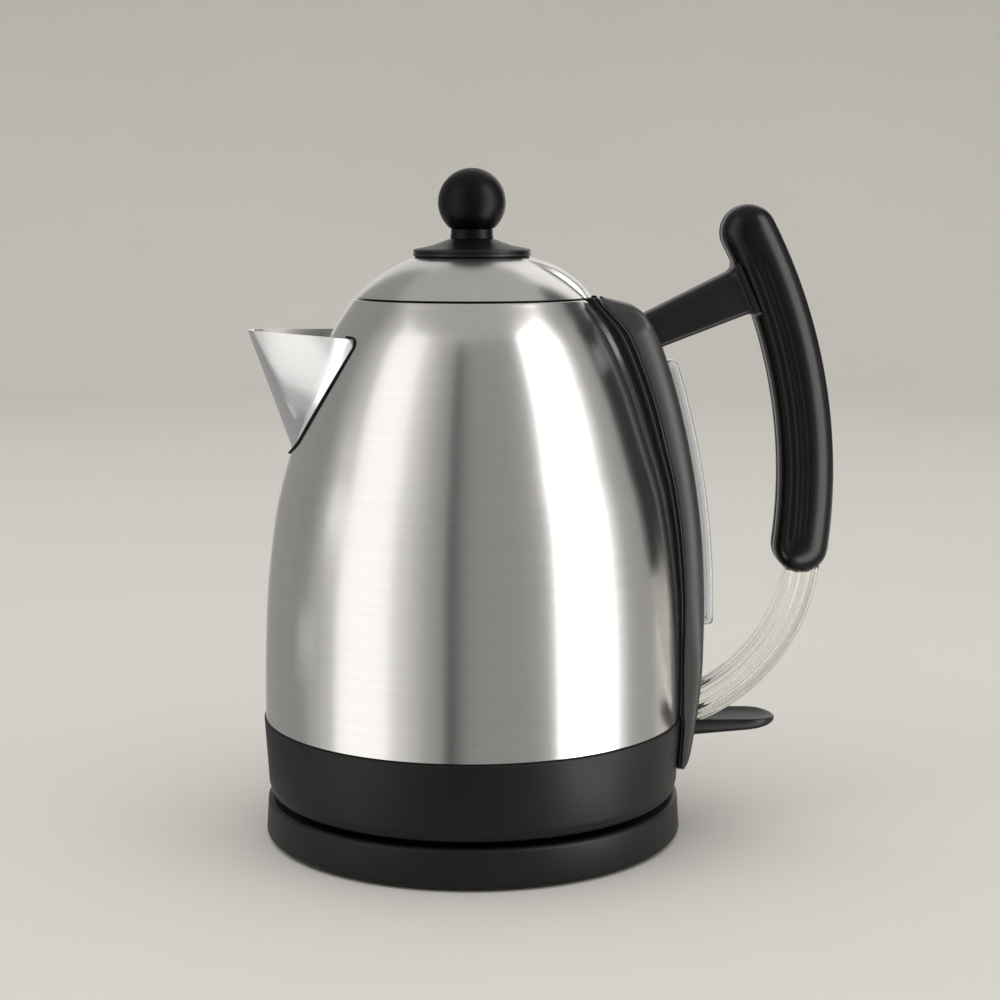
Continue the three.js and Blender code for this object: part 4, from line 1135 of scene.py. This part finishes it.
def make_grip():
    half = GRIP_HALF_HEIGHT
    crown = [(half * (1 - math.cos(turn)), math.sin(turn)) for turn in map(math.radians, steps(0, 90, 20))]
    seam = [(1.7, GAP / 2), (1.0, GAP / 2 + 0.1), (0.4, GAP / 2 + 0.5), (0, GAP / 2 + 1.3)]
    wall = 3.2
    screws = ("grip_screw_1", "grip_screw_2")
    recesses = [rod((x, 9.6, z), (x, 20, z), 3.2) for x, _, z in map(middle, screws)]
    for node, side, cutters in (("grip_left", -1, []), ("grip_right", 1, recesses)):
        rows = [[(x, side * depth, z) for x, z in grip_outline(inset)] for inset, depth in seam]
        for inset, share in crown:
            depth = wall + (GRIP_HALF_WIDTH - wall) * share**0.9
            ring = []
            for x, z in grip_outline(min(inset, half - 0.001)):
                ring.append((x, side * (depth - flute(x, z)), z))
            rows.append(ring)
        points, faces = grid(rows)
        faces.append(tuple(range(len(rows[0]))))
        fine(node, (points, faces), *cutters)
    for node in screws:
        low, high = extent(node)
        x, _, z = middle(node)
        screw(node, (x, high.y, z), (0, -1, 0), 2.9, 1.4, 1.5, high.y - low.y)


def make_strut():
    half_width = extent("upper_strut")[1].y
    tilt = math.radians(STRUT_TILT)
    along = Vector((math.cos(tilt), math.sin(tilt)))
    up = Vector((-math.sin(tilt), math.cos(tilt)))
    root = Vector(STRUT_ROOT)
    rows = []
    length, flare_start, flare_end = 34.5, 32.6, 36
    for distance in [*steps(-5, 32, 24), *steps(flare_start, flare_end, 12), 38]:
        share = distance / length
        near_grip = clamp((distance - flare_start) / (flare_end - flare_start))
        flare = 2.2 * (1 - math.sqrt(1 - near_grip * near_grip))
        half = 6.9 + 1.7 * share + flare
        width = half_width + flare * 0.6
        corners = [(-width, half, 3.6), (width, half, 3.6), (width, -half, 2.0), (-width, -half, 2.0)]
        row = []
        for y, height in rounded(corners, 8):
            spot = root + along * distance + up * height
            row.append((spot.x, y, spot.y))
        rows.append(row)
    fine("upper_strut", grid(rows, caps=True), sharp=30)


def make_bar():
    centre_x, centre_z, radius = BAR_ARC
    grooves = [(-0.52, 0.6), (-0.06, 0.5), (0.5, 0.6)]  # place across the side, and depth
    side = []
    for share in steps(-1, 1, 64):
        corner = 1.6 * (1 - math.sqrt(max(0, 1 - max(0, (abs(share) - 0.72) / 0.28) ** 2)))
        groove = sum(depth * math.exp(-(((share - centre) / 0.13) ** 2)) for centre, depth in grooves)
        side.append((share * BAR_HALF_HEIGHT, -(BAR_HALF_WIDTH - corner - groove)))
    rows = []
    for angle in map(math.radians, steps(-69, 8, 120)):
        row = []
        for offset, y in with_mirror(side):
            x, z = polar(radius + offset, angle)
            row.append((centre_x + x, y, centre_z + z))
        rows.append(row)
    inside_spine = block((60, -20, 30), (spine_back(52) - 1.2, 20, 70))
    fine("lower_bar", grid(rows, caps=True), inside_spine, sharp=55)


# ---------------- switch lever


def make_lever():
    tip, half = LEVER_HIGH.x, LEVER_HIGH.y
    root = 83.4
    under = [(root, 37.7), (94, 38.7), (104, 39.6), (111.6, 40.6), (tip, 41.7)]
    over = [(root, 44.3), (96, 44.5), (110, 44.4), (tip, 43.8)]

    def plan(inset):
        reach = half - inset
        bow = arc(tip - half, 0, reach, -90, 90, 40)
        return [(root, -reach), (root + 12, -reach), *bow, (root + 12, reach), (root, reach)]

    belly = [(8.0, 0.0), (4.5, 0.01), (2.2, 0.05), (1.0, 0.12), (0.35, 0.22), (0.05, 0.34)]
    rim = [(0.0, 0.5), (0.0, 0.74), (0.1, 0.88), (0.4, 0.97), (0.9, 1.0)]
    dish = [(1.7, 0.97), (3.0, 0.86), (5.0, 0.76), (7.5, 0.7), (10.0, 0.68)]
    rows = []
    for inset, share in belly + rim + dish:
        row = []
        for x, y in plan(inset):
            low, high = interpolate(under, x), interpolate(over, x)
            row.append((x, y, low + share * (high - low)))
        rows.append(row)
    fine("switch_lever", grid(rows, caps=True), sharp=40)


# ---------------- filter


def make_filter():
    foot_x, foot_z = FILTER_PLACE
    lean = Matrix.Translation((foot_x, 0, foot_z)) @ Matrix.Rotation(math.radians(FILTER_TILT), 4, "Y")
    half, low, high, wire = 14.6, 3.4, 26.4, 0.2
    upright = [rod((0.7, y, low), (0.7, y, high), wire, 8) for y in steps(-half, half, 24)]
    level = [rod((0.9, -half, z), (0.9, half, z), wire, 8) for z in steps(low, high, 19)]
    fine("filter_mesh", placed(merged(*upright, *level), lean))


# ---------------- stage, lights and camera


def staged_mesh(name, rows, closed):
    """An open sheet in metres that belongs to the studio and not to the kettle."""
    points, faces = grid(rows, wrap_rows=closed, wrap_columns=False)
    mesh = bpy.data.meshes.new(name)
    mesh.from_pydata(points, [], faces)
    for face in mesh.polygons:
        face.use_smooth = True
    obj = bpy.data.objects.new(name, mesh)
    bpy.context.scene.collection.objects.link(obj)
    return obj


def make_sweep():
    """A round floor that curves up into a wall."""
    floor_radius, bend, top = 1.9, 0.6, 1.5
    corner = arc(floor_radius, bend, bend, -90, 0, 16)
    profile = [(0.001, 0), (0.5, 0), (1.2, 0), *corner, (floor_radius + bend, top)]
    material, tree, shader = new_material("studio_sweep", (0.6, 0.58, 0.55), 0.0, 0.7)
    shader.inputs["Specular IOR Level"].default_value = 0
    clouds = ranged(tree, noise(tree, (3, 3, 3)), 0, 1)
    tinted(tree, shader, clouds, (0.62, 0.605, 0.575), (0.64, 0.625, 0.595))
    sweep = staged_mesh("studio_sweep", turned_rows(profile, 90), closed=True)
    sweep.data.materials.append(material)


# Screens around the kettle that only reflections see: first and last azimuth (0 stands in front of it
# at -Y, 90 at +X), brightness, and the distances and heights of their section in metres. A full screen
# covers the floor and the wall.
SCREEN_DISTANCE = 1.12
SCREEN_TOP = 1.6
FULL_SCREEN = [(0.06, 0.003), (SCREEN_DISTANCE, 0.003), (SCREEN_DISTANCE, SCREEN_TOP)]
WALL_SCREEN = [(SCREEN_DISTANCE, 0.003), (SCREEN_DISTANCE, SCREEN_TOP)]
CEILING = [(SCREEN_DISTANCE + 0.1, SCREEN_TOP), (0.5, 2.1), (0.01, 2.2)]
SCREENS = [
    ("rear_behind", -180, -160, 0.8, WALL_SCREEN),
    ("rear_left", -160, -118, 0.36, FULL_SCREEN),
    ("left_edge", -118, -100, 0.33, FULL_SCREEN),
    ("left_shoulder", -100, -90, 0.5, FULL_SCREEN),
    ("left_rise", -90, -78, 0.65, FULL_SCREEN),
    ("left_window", -78, -44, 1.55, FULL_SCREEN),
    ("left_fall", -44, -34, 0.9, FULL_SCREEN),
    ("left_fade", -34, -26, 0.65, FULL_SCREEN),
    ("left_haze", -26, -14, 0.44, FULL_SCREEN),
    ("dark_gap", -14, -8, 0.02, FULL_SCREEN),
    ("front_shade", -8, -2, 0.26, FULL_SCREEN),
    ("front", -2, 49, 0.36, FULL_SCREEN),
    ("right_window", 49, 82, 5.0, FULL_SCREEN),
    ("right_fall", 82, 92, 0.8, FULL_SCREEN),
    ("right_edge", 92, 118, 0.42, FULL_SCREEN),
    ("dark_right", 118, 142, 0.02, WALL_SCREEN),
    ("rear_window", 142, 168, 1.2, WALL_SCREEN),
    ("rear", 168, 180, 0.9, WALL_SCREEN),
    ("ceiling", 0, 360, 0.52, CEILING),
    ("spout_card", -92, -75, 1.2, [(1.05, 0.16), (1.05, 0.44)]),
    ("spout_floor_card", -109, -94, 0.75, [(0.38, 0.006), (0.72, 0.006)]),
]


def seen_in_body(azimuth, distance, z):
    """The spot that the front view sees in the round body, a distance off in the direction of an azimuth."""
    radius = 0.075
    x = radius * math.sin(azimuth / 2) + distance * math.sin(azimuth)
    y = -radius * math.cos(azimuth / 2) - distance * math.cos(azimuth)
    return x, y, z


def make_screens():
    for name, low_azimuth, high_azimuth, brightness, profile in SCREENS:
        rows = []
        for angle in steps(low_azimuth, high_azimuth, 12):
            rows.append([seen_in_body(math.radians(angle), distance, z) for distance, z in profile])
        material, _, shader = new_material(f"screen_{name}", (0, 0, 0), 0.0, 1.0)
        shader.inputs["Specular IOR Level"].default_value = 0
        shader.inputs["Emission Color"].default_value = (1, 0.99, 0.975, 1)
        shader.inputs["Emission Strength"].default_value = brightness
        screen = staged_mesh(f"screen_{name}", rows, closed=False)
        screen.data.materials.append(material)
        for ray in ("camera", "diffuse", "shadow", "transmission", "volume_scatter"):
            setattr(screen, f"visible_{ray}", False)


def softbox(name, azimuth, distance, height, size, power):
    """A rectangular light that reflections don't see, aimed at the kettle."""
    turn = math.radians(azimuth)
    place = Vector((math.sin(turn) * distance, -math.cos(turn) * distance, height))
    light = bpy.data.lights.new(name, "AREA")
    light.shape = "RECTANGLE"
    light.size, light.size_y = size
    light.energy = power
    obj = bpy.data.objects.new(name, light)
    obj.location = place
    obj.rotation_euler = (Vector((0, 0, 0.12)) - place).to_track_quat("-Z", "Y").to_euler()
    obj.visible_camera = False
    obj.visible_glossy = False
    bpy.context.scene.collection.objects.link(obj)


def make_lights():
    world = bpy.data.worlds.new("studio")
    world.use_nodes = True
    background = world.node_tree.nodes["Background"]
    background.inputs["Color"].default_value = (1.0, 0.99, 0.97, 1)
    background.inputs["Strength"].default_value = 1.05
    bpy.context.scene.world = world
    softbox("overhead", 0, 0.15, 1.5, (1.3, 1.3), 3)
    softbox("left", -60, 1.2, 0.6, (0.8, 1.0), 1.5)
    softbox("right", 62, 1.2, 0.6, (0.8, 1.0), 2.5)


def make_camera():
    """The photograph's camera, which looks slightly down."""
    look_down = 8.21
    camera = bpy.data.cameras.new("camera")
    camera.sensor_width = 36
    camera.lens = 71.3
    camera.clip_start = 0.01
    camera.clip_end = 50
    obj = bpy.data.objects.new("camera", camera)
    obj.location = (0.0104, -0.742, 0.234)
    obj.rotation_euler = (math.radians(90 - look_down), 0, 0)
    bpy.context.scene.collection.objects.link(obj)
    bpy.context.scene.camera = obj


make_camera()
make_base()
make_connectors()
make_lower_housing()
make_floor_of_jug()
make_body()
make_lid_shell()
make_lid_flange()
make_knob()
make_lid_liner()
make_spout()
make_spine()
make_trim()
make_gauge()
make_grip()
make_strut()
make_bar()
make_lever()
make_filter()
make_sweep()
make_screens()
make_lights()
bpy.context.scene.view_settings.view_transform = "Standard"
